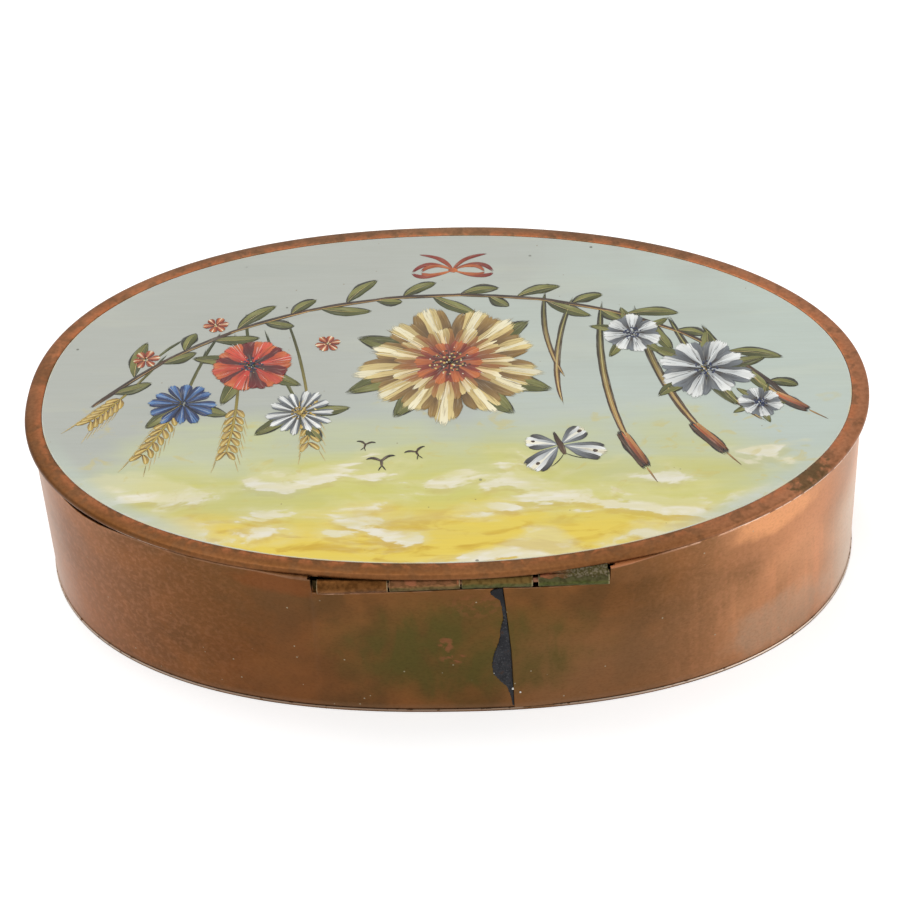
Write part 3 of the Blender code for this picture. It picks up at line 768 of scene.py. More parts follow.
ground_profile = [
    (4.14, 42.65, 0.0), (4.11, 42.74, 0.0), (4.16, 42.82, 0.05), (4.3, 42.87, 0.2), (4.5, 42.89, 0.4),
    (4.8, 42.9, 0.7), (5.2, 42.9, 1.1), (6.5, 42.9, 2.4), (9.6, 42.9, 5.5),
]
ground_shape = pull_rings(EVEN_TURNS, [flat_level(LID_OVAL, *row) for row in ground_profile], "capped")
keep_piece("sky_ground", ground_shape, sky.material, "lid", "painted_ground")

# %% [markdown]
# ## Strokes of thick paint
# The decoration is a garland, built the way a folk painter works: stroke by stroke, dark first and light
# last. A stroke is a small grid bent along a curve. Its width swells and fades like the mark of a round
# brush, and its middle stands up a tenth of a millimetre. Every corner carries its colour and its place along
# the bristles, so one finish can paint all the strokes and streak each of them along its own length.

# %% The brush
PAINT_TOP, STROKE_LIFT, STEP_LENGTH = 42.9, 0.015, 0.9
GOLDEN_ANGLE = 137.5


def thicken(piece, millimetres, offset=0):
    """Gives a sheet its thickness: to both sides of it, or with an offset of -1 to its lower side."""
    modifier = piece.modifiers.new("thickness", "SOLIDIFY")
    modifier.thickness = millimetres * MM
    modifier.offset = offset


def along_curve(points, share):
    """The point of a Bezier curve at a share of its length."""
    points = [Vector(point) for point in points]
    while len(points) > 1:
        points = [first.lerp(second, share) for first, second in zip(points, points[1:])]
    return points[0]


def aim(turn_degrees, distance):
    return Vector((math.cos(math.radians(turn_degrees)), math.sin(math.radians(turn_degrees)))) * distance


class Brushwork:
    """Strokes of thick paint, gathered in one mesh. All lengths given to it are in millimetres."""

    def __init__(self, seed, level=0.0, spread=0.13):
        self.shape = bmesh.new()
        self.paint = self.shape.verts.layers.float_color.new("paint")
        self.bristle = self.shape.verts.layers.float_vector.new("bristle")
        self.reach = self.shape.verts.layers.float_vector.new("reach")
        self.chance = random.Random(seed)
        self.level = level
        self.spread = spread
        self.count = 0

    def stroke(self, points, width, colours, belly=(1.0, 0.55), height=0.09, across=4):
        length = sum((Vector(b) - Vector(a)).length for a, b in zip(points, points[1:]))
        steps = max(5, min(20, round(length / STEP_LENGTH)))
        corners = bmesh.ops.create_grid(self.shape, x_segments=steps, y_segments=across, size=0.5)["verts"]
        tint = self.chance.uniform(1 - self.spread, 1 + self.spread)
        start = self.chance.uniform(0, 90)
        base = PAINT_TOP + STROKE_LIFT + self.level + self.chance.uniform(0, 0.02)
        for corner in corners:
            share, side = corner.co.x + 0.5, corner.co.y * 2
            ahead = along_curve(points, min(share + 0.02, 1)) - along_curve(points, max(share - 0.02, 0))
            sideways = Vector((-ahead.y, ahead.x)).normalized()
            full = math.sin(math.pi * min(max(share, 0.015), 0.985) ** belly[0]) ** belly[1]
            full *= 1 + 0.10 * math.sin(share * 9 + start + side)
            place = along_curve(points, share) + sideways * side * width / 2 * full
            corner.co = Vector((place.x, place.y, base + height * full * (1 - side * side))) * MM
            mixed = along_curve(colours, share) * tint
            corner[self.paint] = (*mixed, 1)
            corner[self.bristle] = (side * width / 2 + start, share * length, start)
            corner[self.reach] = (side, share, 0)
        self.count += 1

    def keep(self, name, material):
        """Keeps the strokes as one piece, each closed downwards into the ground."""
        piece = keep_piece(name, self.shape, material, "lid", sharp=60)
        thicken(piece, 0.3, -1)
        print(name, "holds", self.count, "strokes")


print("brush ready")

# %% [markdown]
# ## Finish of the strokes
# Thick paint keeps the marks of the bristles, which show as fine ridges and as streaks where two colours
# were on the brush. Noise that reads the bristle attribute, squeezed across the stroke and drawn out along
# it, does both: it shifts the colour a little and raises the ridges. The same streaks break up a stroke where
# the brush ran dry, at its ends and along its sides, by way of the shader's alpha.

# %% Stroke paint
brushed = Finish("thick_paint", Specular_IOR_Level=0.4)
own_colour = brushed.node("Attribute", {"attribute_name": "paint"}, {}, "Color")
along = brushed.node("Attribute", {"attribute_name": "bristle"}, {}, "Vector")
streaks = brushed.noise(0.45, 3.0, stretch=(1.0, 0.10, 1.0), place=along)
reach = brushed.node("Attribute", {"attribute_name": "reach"}, {}, "Vector")
parts = brushed.node("SeparateXYZ", {}, {0: reach}).socket.node.outputs
side, share = (Value(brushed, socket) for socket in parts[:2])
blotch = brushed.noise(1.6, 2.0)
lighter = brushed.mix(0.5, own_colour, (0.80, 0.74, 0.58))
darker = brushed.mix(1.0, own_colour, (0.52, 0.47, 0.42), "MULTIPLY")
brushed.colour = brushed.mix(streaks.between(0.52, 0.74) * 0.33, own_colour, lighter)
brushed.coat(streaks.between(0.48, 0.28) * 0.66, darker)
from_end = (share / 0.08).or_less((1 - share) / 0.12)
inside = ((1 - side.size()) / 0.2).or_less(from_end)
cover = (inside + (streaks - 0.5) * 2.2).between(0.1, 0.85)
rough = 0.34 + blotch * 0.2
relief = brushed.bump(streaks, 0.08)
brushed.feed(Base_Color=brushed.colour, Alpha=cover, Roughness=rough, Normal=relief)
print("stroke finish has", len(brushed.tree.nodes), "nodes")

# %% [markdown]
# ## Petals, leaves and blossoms
# A petal is a fan of five strokes from one root, the two outer ones in shade and the middle one in light. A
# leaf is two half strokes and a vein. With these two words, a blossom is a ring or two of petals and a dabbed
# heart, each turned and sized a little by chance, because no two painted petals are alike.

# %% Words for flowers
CREAM_PAINT, STRAW, STRAW_SHADE = (0.86, 0.80, 0.58), (0.72, 0.58, 0.26), (0.36, 0.22, 0.06)
ORANGE, BRICK = (0.56, 0.16, 0.04), (0.33, 0.07, 0.025)
RED, LIGHT_RED, DARK_RED = (0.52, 0.035, 0.025), (0.62, 0.10, 0.05), (0.17, 0.012, 0.012)
NAVY, BLUE, LIGHT_BLUE = (0.012, 0.035, 0.13), (0.06, 0.15, 0.36), (0.14, 0.26, 0.46)
WHITE, GREY, PALE_GREY = (0.84, 0.85, 0.82), (0.20, 0.22, 0.24), (0.50, 0.54, 0.56)
DARK, BROWN, TAN, GOLD = (0.022, 0.017, 0.014), (0.10, 0.048, 0.022), (0.50, 0.29, 0.10), (0.58, 0.40, 0.07)
LEAF_DARK, LEAF, LEAF_LIGHT = (0.035, 0.042, 0.016), (0.11, 0.115, 0.028), (0.30, 0.29, 0.09)


def petal(brush, root, turn, length, width, shade, body, light, hairs=0):
    chance = brush.chance
    for lean, tones in ((-1, shade), (1, shade), (-0.5, body), (0.55, body), (0.05, light)):
        lean += chance.uniform(-0.12, 0.12)
        spread = math.degrees(lean * width * 0.36 / length)
        tip = root + aim(turn + spread, length * (1 - 0.09 * abs(lean) + chance.uniform(-0.03, 0.03)))
        bulge = root + aim(turn + spread * 1.5, length * 0.6)
        brush.stroke([root + aim(turn, length * 0.06), bulge, tip], width * 0.44, tones, (1.5, 0.6))
    for number in range(hairs):
        spread = math.degrees(chance.uniform(-0.8, 0.8) * width * 0.38 / length)
        near, far = chance.uniform(0.2, 0.5), chance.uniform(0.75, 1.02)
        points = [root + aim(turn + spread * 0.8, length * near), root + aim(turn + spread, length * far)]
        tones = [shade[0], shade[-1]] if number % 2 else [light[-1], WHITE]
        brush.stroke(points, 0.34, tones, height=0.12, across=2)


def leaf(brush, root, turn, length, width, bend=12):
    root = Vector(root)
    tip = root + aim(turn + bend, length)
    shadow = [root, root + aim(turn + 3, length * 0.5), tip]
    brush.stroke(shadow, width, [DARK, LEAF_DARK, DARK], (1.15, 0.7), 0.04)
    for side, tones in ((-1, [LEAF_DARK, LEAF]), (1, [LEAF, LEAF_LIGHT, LEAF])):
        bulge = root + aim(turn + side * 15, length * 0.52)
        brush.stroke([root, bulge, tip], width * 0.46, tones, (1.2, 0.75))
    vein = [root, root + aim(turn, length * 0.5), tip]
    brush.stroke(vein, 0.3, [STRAW, LEAF_LIGHT], height=0.1, across=2)


def dabs(brush, centre, radius, count, size, tones):
    for number in range(count):
        spot = centre + aim(number * GOLDEN_ANGLE, radius * math.sqrt((number + 0.5) / count))
        end = spot + aim(brush.chance.uniform(0, 360), size * 0.9)
        brush.stroke([spot, end], size * brush.chance.uniform(0.7, 1.2), tones, height=0.13)


def blossom(brush, centre, radius, count, width, shade, body, light, start=0.0, hairs=0):
    centre = Vector(centre)
    for number in range(count):
        turn = start + 360 * number / count + brush.chance.uniform(-5, 5)
        length = radius * brush.chance.uniform(0.88, 1.06)
        petal(brush, centre, turn, length, width * brush.chance.uniform(0.9, 1.12), shade, body, light, hairs)


print("flower words ready")

# %% [markdown]
# ## The garland
# One branch swings across the lid and everything grows from it towards the hinge. A large straw-coloured
# blossom sits in its middle, with a bunch of small field flowers and wheat to one side and reeds, white
# windflowers and a moth to the other. Stems are painted low and flowers over them, so each level lies a
# little higher than the last. A tied bow and three small birds fill the plain sky.

# %% Branch, leaves and bow
garland = Brushwork(11)
BRANCH = [(84, 6), (58, -30), (22, -44), (-24, -42), (-60, -30), (-82, 8)]
for nudge, width, tones in ((0.0, 1.5, [BROWN, DARK, DARK, BROWN]), (0.35, 0.5, [TAN, LEAF, TAN, TAN])):
    cuts = [along_curve(BRANCH, step / 40) + Vector((0, nudge)) for step in range(41)]
    for start in range(0, 40, 4):
        garland.stroke([cuts[start], cuts[start + 2], cuts[min(start + 5, 40)]], width, tones, (1.0, 0.3))
for number in range(26):
    share = 0.03 + number * 0.037
    root = along_curve(BRANCH, share)
    ahead = along_curve(BRANCH, min(share + 0.01, 1)) - root
    heading = math.degrees(math.atan2(ahead.y, ahead.x))
    side = 1 if number % 2 else -1
    length = 10.5 + 3.5 * math.sin(number * 1.7)
    leaf(garland, root, heading + side * (42 + 12 * math.sin(number * 2.3)), length, 4.0, side * -14)
for turn, length in ((18, 27), (52, 24), (150, 27), (122, 25), (-30, 25), (-146, 25), (84, 21)):
    leaf(garland, (-1, -9), turn, length, 7.5, 6)
for side in (-1, 1):
    knot = Vector((-1, -46))
    for reach, tones in ((9, [BRICK, DARK_RED]), (7, [ORANGE, BRICK])):
        for bulge in (30, -38):
            end = knot + aim(90 - side * 84, reach * 1.15)
            garland.stroke([knot, knot + aim(90 - side * (90 - bulge), reach), end], 1.7, tones, (1.2, 0.6))
    ribbon = [knot, knot + aim(-90 + side * 20, 6), knot + aim(-90 + side * 52, 11)]
    garland.stroke(ribbon, 1.5, [BRICK, DARK_RED])
garland.stroke([knot + Vector((-1.3, 0)), knot + Vector((1.3, 0))], 2.2, [ORANGE, BRICK], height=0.14)
garland.keep("branch_strokes", brushed.material)

# %% The large straw blossom
straw = Brushwork(23, 0.03)
heart = Vector((-1, -9))
OUTER_PETALS = ([DARK, BROWN, STRAW_SHADE], [STRAW_SHADE, STRAW], [STRAW, CREAM_PAINT])
MIDDLE_PETALS = ([DARK, BRICK, STRAW_SHADE], [BRICK, STRAW_SHADE, STRAW], [ORANGE, STRAW, CREAM_PAINT])
INNER_PETALS = ([DARK, DARK_RED, BRICK], [DARK_RED, ORANGE], [BRICK, ORANGE])
blossom(straw, heart, 22.5, 13, 8.6, *OUTER_PETALS, start=6, hairs=4)
straw.level = 0.06
blossom(straw, heart, 16, 11, 7.2, *MIDDLE_PETALS, start=20, hairs=4)
straw.level = 0.1
blossom(straw, heart, 9.5, 10, 4.4, *INNER_PETALS)
dabs(straw, heart, 4.6, 34, 1.1, [BROWN, DARK])
dabs(straw, heart + Vector((0.4, 0.5)), 4.2, 22, 0.8, [GOLD, STRAW])
dabs(straw, heart, 5.6, 16, 0.55, [CREAM_PAINT, CREAM_PAINT])
straw.keep("straw_blossom_strokes", brushed.material)

# %% Field flowers and wheat
field = Brushwork(37, 0.005)
RED_FLOWER, BLUE_FLOWER, WHITE_FLOWER = Vector((47, -9)), Vector((62, 5)), Vector((34, 9))
WHEAT = (((58, -18), 74, 44), ((52, -22), 92, 46), ((68, -14), 58, 30), ((40, -28), 100, 50))
FLOWER_STEMS = (((46, -8), -80, 22), ((62, 4), -104, 27), ((33, 9), -70, 34), ((70, -13), -130, 8))
FLOWER_LEAVES = (
    (RED_FLOWER, 60, 16), (RED_FLOWER, 140, 15), (BLUE_FLOWER, 40, 12), (BLUE_FLOWER, 150, 12),
    (WHITE_FLOWER, 30, 13), (WHITE_FLOWER, 110, 12), (WHITE_FLOWER, 180, 12), (RED_FLOWER, -20, 15),
)
for root, turn, length in WHEAT:
    tip = Vector(root) + aim(turn, length)
    bend = Vector(root) + aim(turn + 8, length * 0.55)
    field.stroke([root, bend, tip], 0.8, [LEAF_DARK, LEAF, GOLD], (1.0, 0.2), 0.03, 2)
    for number in range(7):
        seat = along_curve([root, bend, tip], 0.62 + number * 0.058)
        for side in (-1, 1):
            end = seat + aim(turn + side * 34, 3.8)
            husk = [seat, seat + aim(turn + side * 48, 2), end]
            field.stroke(husk, 1.7, [BROWN, STRAW_SHADE, GOLD], height=0.08)
            grain = [seat, seat + aim(turn + side * 42, 2), end]
            field.stroke(grain, 0.8, [GOLD, STRAW], height=0.15, across=2)
            beard = [end, end + aim(turn + side * 14, 4.5)]
            field.stroke(beard, 0.22, [STRAW_SHADE, STRAW], height=0.04, across=2)
for root, turn, length in FLOWER_STEMS:
    stem = [root, Vector(root) + aim(turn + 6, length * 0.5), Vector(root) + aim(turn, length)]
    field.stroke(stem, 0.9, [LEAF, LEAF_DARK], (1.0, 0.25), 0.03, 2)
for root, turn, length in FLOWER_LEAVES:
    leaf(field, root, turn, length, 4.2, 8)
field.level = 0.06
blossom(field, RED_FLOWER, 11, 6, 10.5, [DARK, DARK_RED], [DARK_RED, RED, ORANGE], [RED, LIGHT_RED], 12, 5)
dabs(field, RED_FLOWER, 2.8, 20, 0.9, [DARK, NAVY])
dabs(field, RED_FLOWER, 3.9, 12, 0.4, [GOLD, CREAM_PAINT])
blossom(field, BLUE_FLOWER, 8.4, 12, 2.9, [DARK, NAVY], [NAVY, BLUE], [BLUE, LIGHT_BLUE], 0, 2)
dabs(field, BLUE_FLOWER, 2.2, 14, 0.7, [NAVY, DARK])
blossom(field, WHITE_FLOWER, 8.4, 14, 2.3, [DARK, GREY], [GREY, WHITE], [WHITE, WHITE], 5, 1)
dabs(field, WHITE_FLOWER, 2.2, 20, 0.9, [BROWN, GOLD])
for spot, size in (((73, -12), 3.6), ((57, -25), 3.2), ((29, -17), 3.4)):
    blossom(field, spot, size, 6, 2.1, [DARK_RED, BRICK], [BRICK, ORANGE], [ORANGE, CREAM_PAINT], 10)
    dabs(field, Vector(spot), 0.8, 5, 0.5, [GOLD, CREAM_PAINT])
field.keep("field_flower_strokes", brushed.material)

# %% Reeds and windflowers
reeds = Brushwork(51, 0.005)
REEDS = (
    ((-38, -32), 97, 60, 2.2, 15), ((-46, -30), 108, 56, 2.4, 14), ((-54, -26), 117, 46, 2.2, 0),
    ((-31, -34), 86, 42, 1.8, 0), ((-62, -22), 124, 38, 2.0, 11), ((-24, -36), 98, 34, 1.6, 0),
)
HEAD_STROKES = ((-0.9, [BROWN, DARK, BROWN]), (0.9, [TAN, ORANGE, BROWN]), (0.1, [ORANGE, BRICK, DARK]))
WINDFLOWERS = (((-62, -5), 11.5, 8, 6.6), ((-45, -19), 8.0, 7, 5.4), ((-74, 8), 5.6, 6, 4.4))
for root, turn, length, width, head in REEDS:
    root = Vector(root)
    tip = root + aim(turn, length)
    bend = root + aim(turn - 12, length * 0.6)
    reeds.stroke([root, bend, tip], width, [DARK, LEAF_DARK, BROWN, BROWN], (0.8, 0.5), 0.03)
    reeds.stroke([root, bend, tip], width * 0.55, [LEAF_DARK, LEAF, TAN, TAN], (0.8, 0.5), 0.06)
    reeds.stroke([root, bend, tip], 0.4, [LEAF_LIGHT, STRAW], (0.8, 0.4), 0.09, 2)
    if head:
        ahead = (tip - bend).normalized()
        seat = tip - ahead * head * 0.75
        aside = Vector((-ahead.y, ahead.x))
        reeds.stroke([seat, seat + ahead * head], 3.6, [DARK, DARK], (1.0, 0.3), 0.07)
        for shift, tones in HEAD_STROKES:
            points = [seat + aside * shift + ahead * 0.6, seat + ahead * head * 0.96 + aside * shift * 0.8]
            reeds.stroke(points, 1.35, tones, (1.0, 0.35), 0.14)
        spike = [seat + ahead * head * 0.95, seat + ahead * (head + 5)]
        reeds.stroke(spike, 0.5, [TAN, BROWN], (0.6, 0.5), 0.05, 2)
for spot, radius, count, width in WINDFLOWERS:
    spot = Vector(spot)
    reeds.level = 0.02
    for turn in (20, 95, 170, 250, 320):
        leaf(reeds, spot, turn + spot.x, radius * 1.35, radius * 0.36, 8)
    reeds.level = 0.06
    blossom(reeds, spot, radius, count, width, [DARK, GREY], [GREY, WHITE], [PALE_GREY, WHITE], spot.x, 4)
    dabs(reeds, spot, radius * 0.26, 26, 0.8, [DARK, NAVY])
    dabs(reeds, spot, radius * 0.13, 8, 0.5, [GREY, WHITE])
    for number in range(16):
        turn = number * 22.5 + reeds.chance.uniform(-6, 6)
        stamen = [spot + aim(turn, radius * 0.24), spot + aim(turn, radius * 0.42)]
        reeds.stroke(stamen, 0.3, [DARK, BROWN], height=0.15, across=2)
reeds.keep("reed_strokes", brushed.material)

# %% Moth and birds
flyers = Brushwork(67, 0.04)
moth = Vector((-27, 22))
for side in (-1, 1):
    for turn, length, width in ((34, 11.5, 6.2), (-28, 8.5, 5.4)):
        heading = 90 - side * (90 - turn) + 18
        petal(flyers, moth, heading, length, width, [GREY, DARK], [GREY, WHITE], [WHITE, CREAM_PAINT])
        spot = moth + aim(heading, length * 0.66)
        flyers.stroke([spot, spot + aim(heading, 1.6)], 1.5, [DARK, BROWN], height=0.14)
    feeler = [moth + aim(108, 3), moth + aim(108 - side * 20, 6), moth + aim(108 - side * 34, 8)]
    flyers.stroke(feeler, 0.25, [DARK, DARK])
flyers.stroke([moth + aim(-72, 5), moth, moth + aim(108, 4)], 1.6, [DARK, BROWN, BROWN], (1.1, 0.5), 0.16)
for place, turn, size in (((14, 27), 190, 3.8), ((6, 24), 205, 3.0), ((18, 21), 172, 2.6)):
    place = Vector(place)
    for side in (-1, 1):
        tip = place + aim(turn + 90 - side * 68, size)
        bend = place + aim(turn + 90 - side * 30, size * 0.72)
        flyers.stroke([place, bend, tip], size * 0.24, [BROWN, DARK, DARK], (0.9, 0.6))
    body = [place + aim(turn + 90, size * 0.25), place, place + aim(turn - 96, size * 0.5)]
    flyers.stroke(body, size * 0.2, [DARK, BROWN])
    for fork in (-16, 16):
        tail = [place + aim(turn - 96, size * 0.3), place + aim(turn - 96 + fork, size * 0.85)]
        flyers.stroke(tail, size * 0.09, [DARK, DARK])
flyers.keep("moth_and_bird_strokes", brushed.material)

# %% [markdown]
# ## Hinge
# The four tubes and the pin keep the model's own solids, which have the right shape, and get aged finishes.
# Each tube is worn dull bright in a thin line at its two ends, which is also a painted highlight, so its finish
# takes the ends' places from the model. The first tube is bare brown copper, painted darker along the top as a
# painted shadow of the lid's edge, and the other three have gone green.

# %% Tubes and pin
def tube_finish(node, low, high, upper, under):
    """Blots of two colours, a third along the upper part of the tube and a fourth along its underside."""
    finish = Finish(node + "_copper", Metallic=1.0)
    start, end = (corner.x * 1000 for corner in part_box(node))
    blots = finish.noise(2.4, 5.0, stretch=(0.6, 1, 1), seed=start)
    grime = finish.noise(1.0, 4.0, seed=5.0)
    finish.colour = finish.mix(blots.between(0.35, 0.65), low, high)
    height = finish.z + (blots - 0.5) * 1.6
    finish.coat(height.between(39.6, 40.4), upper)
    finish.coat(height.between(38.75, 38.35), under)
    dimmer = finish.mix(grime.between(0.35, 0.6), (0.62, 0.60, 0.56), (1, 1, 1))
    finish.coat(1.0, dimmer, "MULTIPLY")
    half = (end - start) / 2
    wear_and_highlight = (finish.x - (start + end) / 2).size().between(half - 0.32, half - 0.16)
    finish.coat(wear_and_highlight * grime.between(0.35, 0.5) * 0.55, (0.42, 0.34, 0.20))
    relief = finish.bump(blots * 0.7 + grime * 0.5, 0.09)
    finish.feed(Base_Color=finish.colour, Roughness=0.44 + blots * 0.2, Normal=relief)
    return finish.material


TUBE_COLOURS = {
    # The first tube's third colour, along its top, is a painted shadow of the lid's edge.
    "body_knuckle_1": (
        (0.145, 0.062, 0.020), (0.20, 0.088, 0.030), (0.15, 0.062, 0.018), (0.34, 0.17, 0.085),
    ),
    "lid_knuckle_1": (
        (0.115, 0.080, 0.028), (0.155, 0.105, 0.040), (0.25, 0.118, 0.052), (0.145, 0.105, 0.030),
    ),
    "body_knuckle_2": (
        (0.085, 0.082, 0.027), (0.120, 0.115, 0.045), (0.160, 0.098, 0.030), (0.15, 0.13, 0.062),
    ),
    "lid_knuckle_2": (
        (0.062, 0.074, 0.020), (0.095, 0.100, 0.028), (0.085, 0.078, 0.034), (0.16, 0.115, 0.030),
    ),
}
for node, colours in TUBE_COLOURS.items():
    nodes[node].material_slots[0].material = tube_finish(node, *colours)
pin = Finish("pin_copper", Metallic=1.0)
blots = pin.noise(1.0, 3.0)
pin.colour = pin.mix(blots.between(0.35, 0.65), (0.15, 0.070, 0.038), (0.26, 0.12, 0.07))
pin.feed(Base_Color=pin.colour, Roughness=0.3 + blots * 0.12, Normal=pin.bump(blots, 0.02))
nodes["hinge_pin"].material_slots[0].material = pin.material
print("finished", len(TUBE_COLOURS), "tubes and the pin")

# %% [markdown]
# ## Solder under the lid's edge
# Two of the tubes turn with the lid, and solder holds them to its edge. The lid curves away from the straight
# hinge, so the fill is narrow near the middle and broad under the last tube, where it is plain grey solder.
# It is a grid that hugs the tube as a thin skin and rises to the lid only from the tube's top, because
# anything that stood further out from the tube would scrape in the wall's saddle when the lid opens.

# %% Solder on the lid's tubes
solder = Finish("edge_solder", Metallic=1.0)
blots = solder.noise(1.5, 5.0, seed=2.0)
solder.colour = solder.mix(blots.between(0.35, 0.65), (0.125, 0.058, 0.024), (0.21, 0.092, 0.042))
pink = solder.patch((6.2, 0, 41), (1.5, 0, 4), 0.9, 1.2)
pink = pink.or_more(solder.patch((-4.6, 0, 41), (0.9, 0, 4), 0.9, 1.2))
pink = pink.or_more(solder.patch((-22.6, 0, 41.6), (2.2, 0, 0.9), 0.9, 1.4))
solder.coat(pink * 0.7, (0.34, 0.125, 0.062))
grey = (0 - solder.x + (blots - 0.5) * 8).between(24.5, 29.5)
crumbs = solder.noise(0.5, 4.0, seed=8.0)
grey_solder = solder.mix(crumbs.between(0.42, 0.64), (0.062, 0.051, 0.019), (0.142, 0.118, 0.078))
solder.coat(grey, grey_solder)
relief = solder.bump(blots, 0.16)
solder.feed(Base_Color=solder.colour, Roughness=0.42 + blots * 0.2, Normal=relief)
SKIN_RADIUS, SKIN_TOP_ANGLE, RISING_SHARE = 0.00162, 84, 0.4
SHORT_OF_END, INSIDE_EDGE, PAST_AXIS, SAG = 0.0004, 0.00008, 0.00035, 0.00006


def edge_fillet(name, node, low_angle, high_angle, top_height):
    """Hugs a tube's outer side from an angle above level up to its top, and rises to the lid from there."""
    start, end = (corner.x + side * SHORT_OF_END for corner, side in zip(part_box(node), (1, -1)))
    shape = bmesh.new()
    ragged = random.Random(name)
    for corner in bmesh.ops.create_grid(shape, x_segments=48, y_segments=15, size=0.5)["verts"]:
        along, down = corner.co.x + 0.5, 0.5 - corner.co.y
        x = start + (end - start) * along
        edge = LID_OVAL.point(LID_OVAL.turn_at_back(x), INSIDE_EDGE)
        axis = Vector((x, AXIS_PLACE.y + (x - AXIS_PLACE.x) * AXIS_ALONG.y / AXIS_ALONG.x, AXIS_PLACE.z))
        wave = 0.5 + 0.5 * math.sin(x * 1900 + ragged.uniform(-0.3, 0.3))
        lowest = low_angle + (high_angle - low_angle) * wave
        lowered = max(down - RISING_SHARE, 0) / (1 - RISING_SHARE)
        angle = math.radians(SKIN_TOP_ANGLE + (lowest - SKIN_TOP_ANGLE) * lowered)
        hugging = axis + Vector((0, math.cos(angle), math.sin(angle))) * SKIN_RADIUS
        rise = max(1 - down / RISING_SHARE, 0)
        corner.co = hugging.lerp(Vector((x, min(edge.y, axis.y + PAST_AXIS), top_height)), rise)
        corner.co.z -= SAG * math.sin(math.pi * rise)
    bmesh.ops.recalc_face_normals(shape, faces=shape.faces)
    thicken(keep_piece(name, shape, solder.material, "lid"), 0.25)


edge_fillet("edge_solder_1", "lid_knuckle_1", 22, 34, 0.04165)
edge_fillet("edge_solder_2", "lid_knuckle_2", 38, 54, 0.04195)

# %% [markdown]
# ## Solder
# Solder ran down beside the seam while it was hot and set as a dark smear with a ragged edge. It is a thin
# film that hugs the wall, so it is a grid whose corners are laid on the wall's own surface. Inside the box, a
# grey fillet of solder fills the corner between wall and base, and the model's own solid serves for it.

# %% Seam smear
SMEAR_WIDTHS = (
    (38.3, 0.9), (38.0, 1.9), (37.4, 2.5), (36.5, 2.4), (35.7, 1.7), (35.0, 0.9), (31.9, 0.6), (28.4, 0.7),
    (27.1, 1.15), (24.3, 1.7), (21.6, 2.2), (18.9, 3.1), (16.1, 3.75), (12.2, 3.75), (10.0, 2.7), (7.9, 1.3),
    (5.2, 0.6), (3.4, 0.35), (1.6, 0.2),
)
SMEAR_ROWS = 110
smear = Finish("dark_solder", Metallic=0.4, Specular_IOR_Level=0.3)
blots = smear.noise(1.4, 5.0)
crumbs = smear.noise(0.35, 3.0, seed=6.0)
smear.colour = smear.mix(blots.between(0.35, 0.65), (0.012, 0.012, 0.015), (0.030, 0.031, 0.036))
smear.coat(crumbs.between(0.55, 0.7) * 0.7, (0.085, 0.085, 0.090))
smear.coat(blots.between(0.6, 0.72) * 0.6, (0.055, 0.024, 0.012))
smear.coat(smear.z.between(32, 35) * 0.8, (0.006, 0.006, 0.008))
rough = 0.55 + blots * 0.25
smear.feed(Base_Color=smear.colour, Roughness=rough, Normal=smear.bump(blots + crumbs * 0.6, 0.14))


def smear_width(height):
    for (upper, wide), (lower, next_wide) in zip(SMEAR_WIDTHS, SMEAR_WIDTHS[1:]):
        if height >= lower:
            return wide + (next_wide - wide) * (upper - height) / (upper - lower)
    return SMEAR_WIDTHS[-1][1]


smear_shape = bmesh.new()
corners = bmesh.ops.create_grid(smear_shape, x_segments=12, y_segments=SMEAR_ROWS, size=0.5)["verts"]
ragged = random.Random(5)
rags = [ragged.uniform(-0.12, 0.12) for row in range(SMEAR_ROWS + 1)]
TOP_AT_SEAM = wall_top_height(TOP_OVAL.point(SEAM_TURN), SEAM_TURN) / MM


def beside_seam(aside_mm):
    """The turn of a place so far along the wall from the seam, towards the solder."""
    return SEAM_TURN - aside_mm * MM / BASE_OVAL.half_length


def on_wall(aside_mm, height_mm, out_mm):
    """A place on the wall's outer face beside the seam, at a height and so far out from the face."""
    share = (height_mm - WALL_FOOT) / (TOP_AT_SEAM - WALL_FOOT)
    return wall_place(beside_seam(aside_mm), -out_mm, share, outside=False)


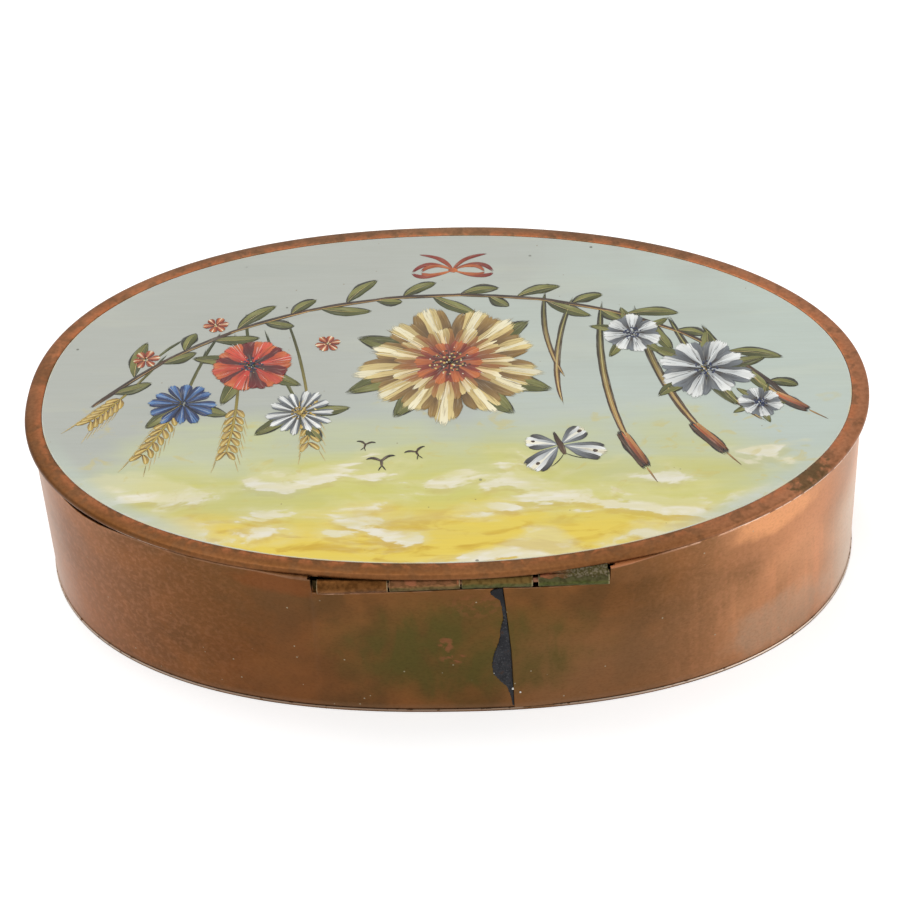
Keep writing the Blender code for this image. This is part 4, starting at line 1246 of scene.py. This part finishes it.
for corner in corners:
    across, down = 0.5 - corner.co.x, 0.5 - corner.co.y
    height = SMEAR_WIDTHS[0][0] + (SMEAR_WIDTHS[-1][0] - SMEAR_WIDTHS[0][0]) * down
    wide = smear_width(height) + rags[round(down * SMEAR_ROWS)] * min(1, 6 * (1 - down))
    out = 0.05 + 0.16 * math.sin(math.pi * min(max(across, 0.0), 1.0)) ** 0.5
    corner.co = on_wall(0.05 + wide * across, height, out)
bmesh.ops.recalc_face_normals(smear_shape, faces=smear_shape.faces)
film = keep_piece("seam_smear", smear_shape, smear.material, "body", "seam_solder")
thicken(film, 0.15)
print("the wall's top at the seam is at", round(TOP_AT_SEAM, 2), "mm")

# %% Solder drops and inner fillet
def plain_finish(name, metallic, blot_size, detail, darker, lighter, least_rough, more_rough, relief_mm):
    """Blots of two tones, which are rougher and stand higher where they are lighter."""
    finish = Finish(name, Metallic=metallic)
    blots = finish.noise(blot_size, detail)
    colour = finish.mix(blots.between(0.3, 0.7), darker, lighter)
    relief = finish.bump(blots, relief_mm)
    return finish.feed(Base_Color=colour, Roughness=least_rough + blots * more_rough, Normal=relief)


DROP_SHAPE = Matrix.Diagonal((1, 0.6, 1.1, 1))
drop_metal = plain_finish(
    "bright_solder", 0.6, 0.4, 3.0, (0.50, 0.48, 0.44), (0.80, 0.78, 0.72), 0.3, 0.2, 0.03,
)
drops = bmesh.new()
for aside, height, size in ((0.1, 6.9, 0.36), (-1.35, 5.8, 0.24), (0.5, 11.2, 0.12), (3.6, 12.1, 0.14)):
    seat = Matrix.Translation(on_wall(aside, height, 0.12 + lap_step(beside_seam(aside)) / MM))
    bmesh.ops.create_icosphere(drops, subdivisions=3, radius=size * MM, matrix=seat @ DROP_SHAPE)
keep_piece("solder_drops", drops, drop_metal, "body")
nodes["base_solder"].material_slots[0].material = plain_finish(
    "grey_solder", 1.0, 3.0, 4.0, (0.10, 0.095, 0.085), (0.20, 0.19, 0.17), 0.4, 0.2, 0.2,
)
print("smear and fillet finished")
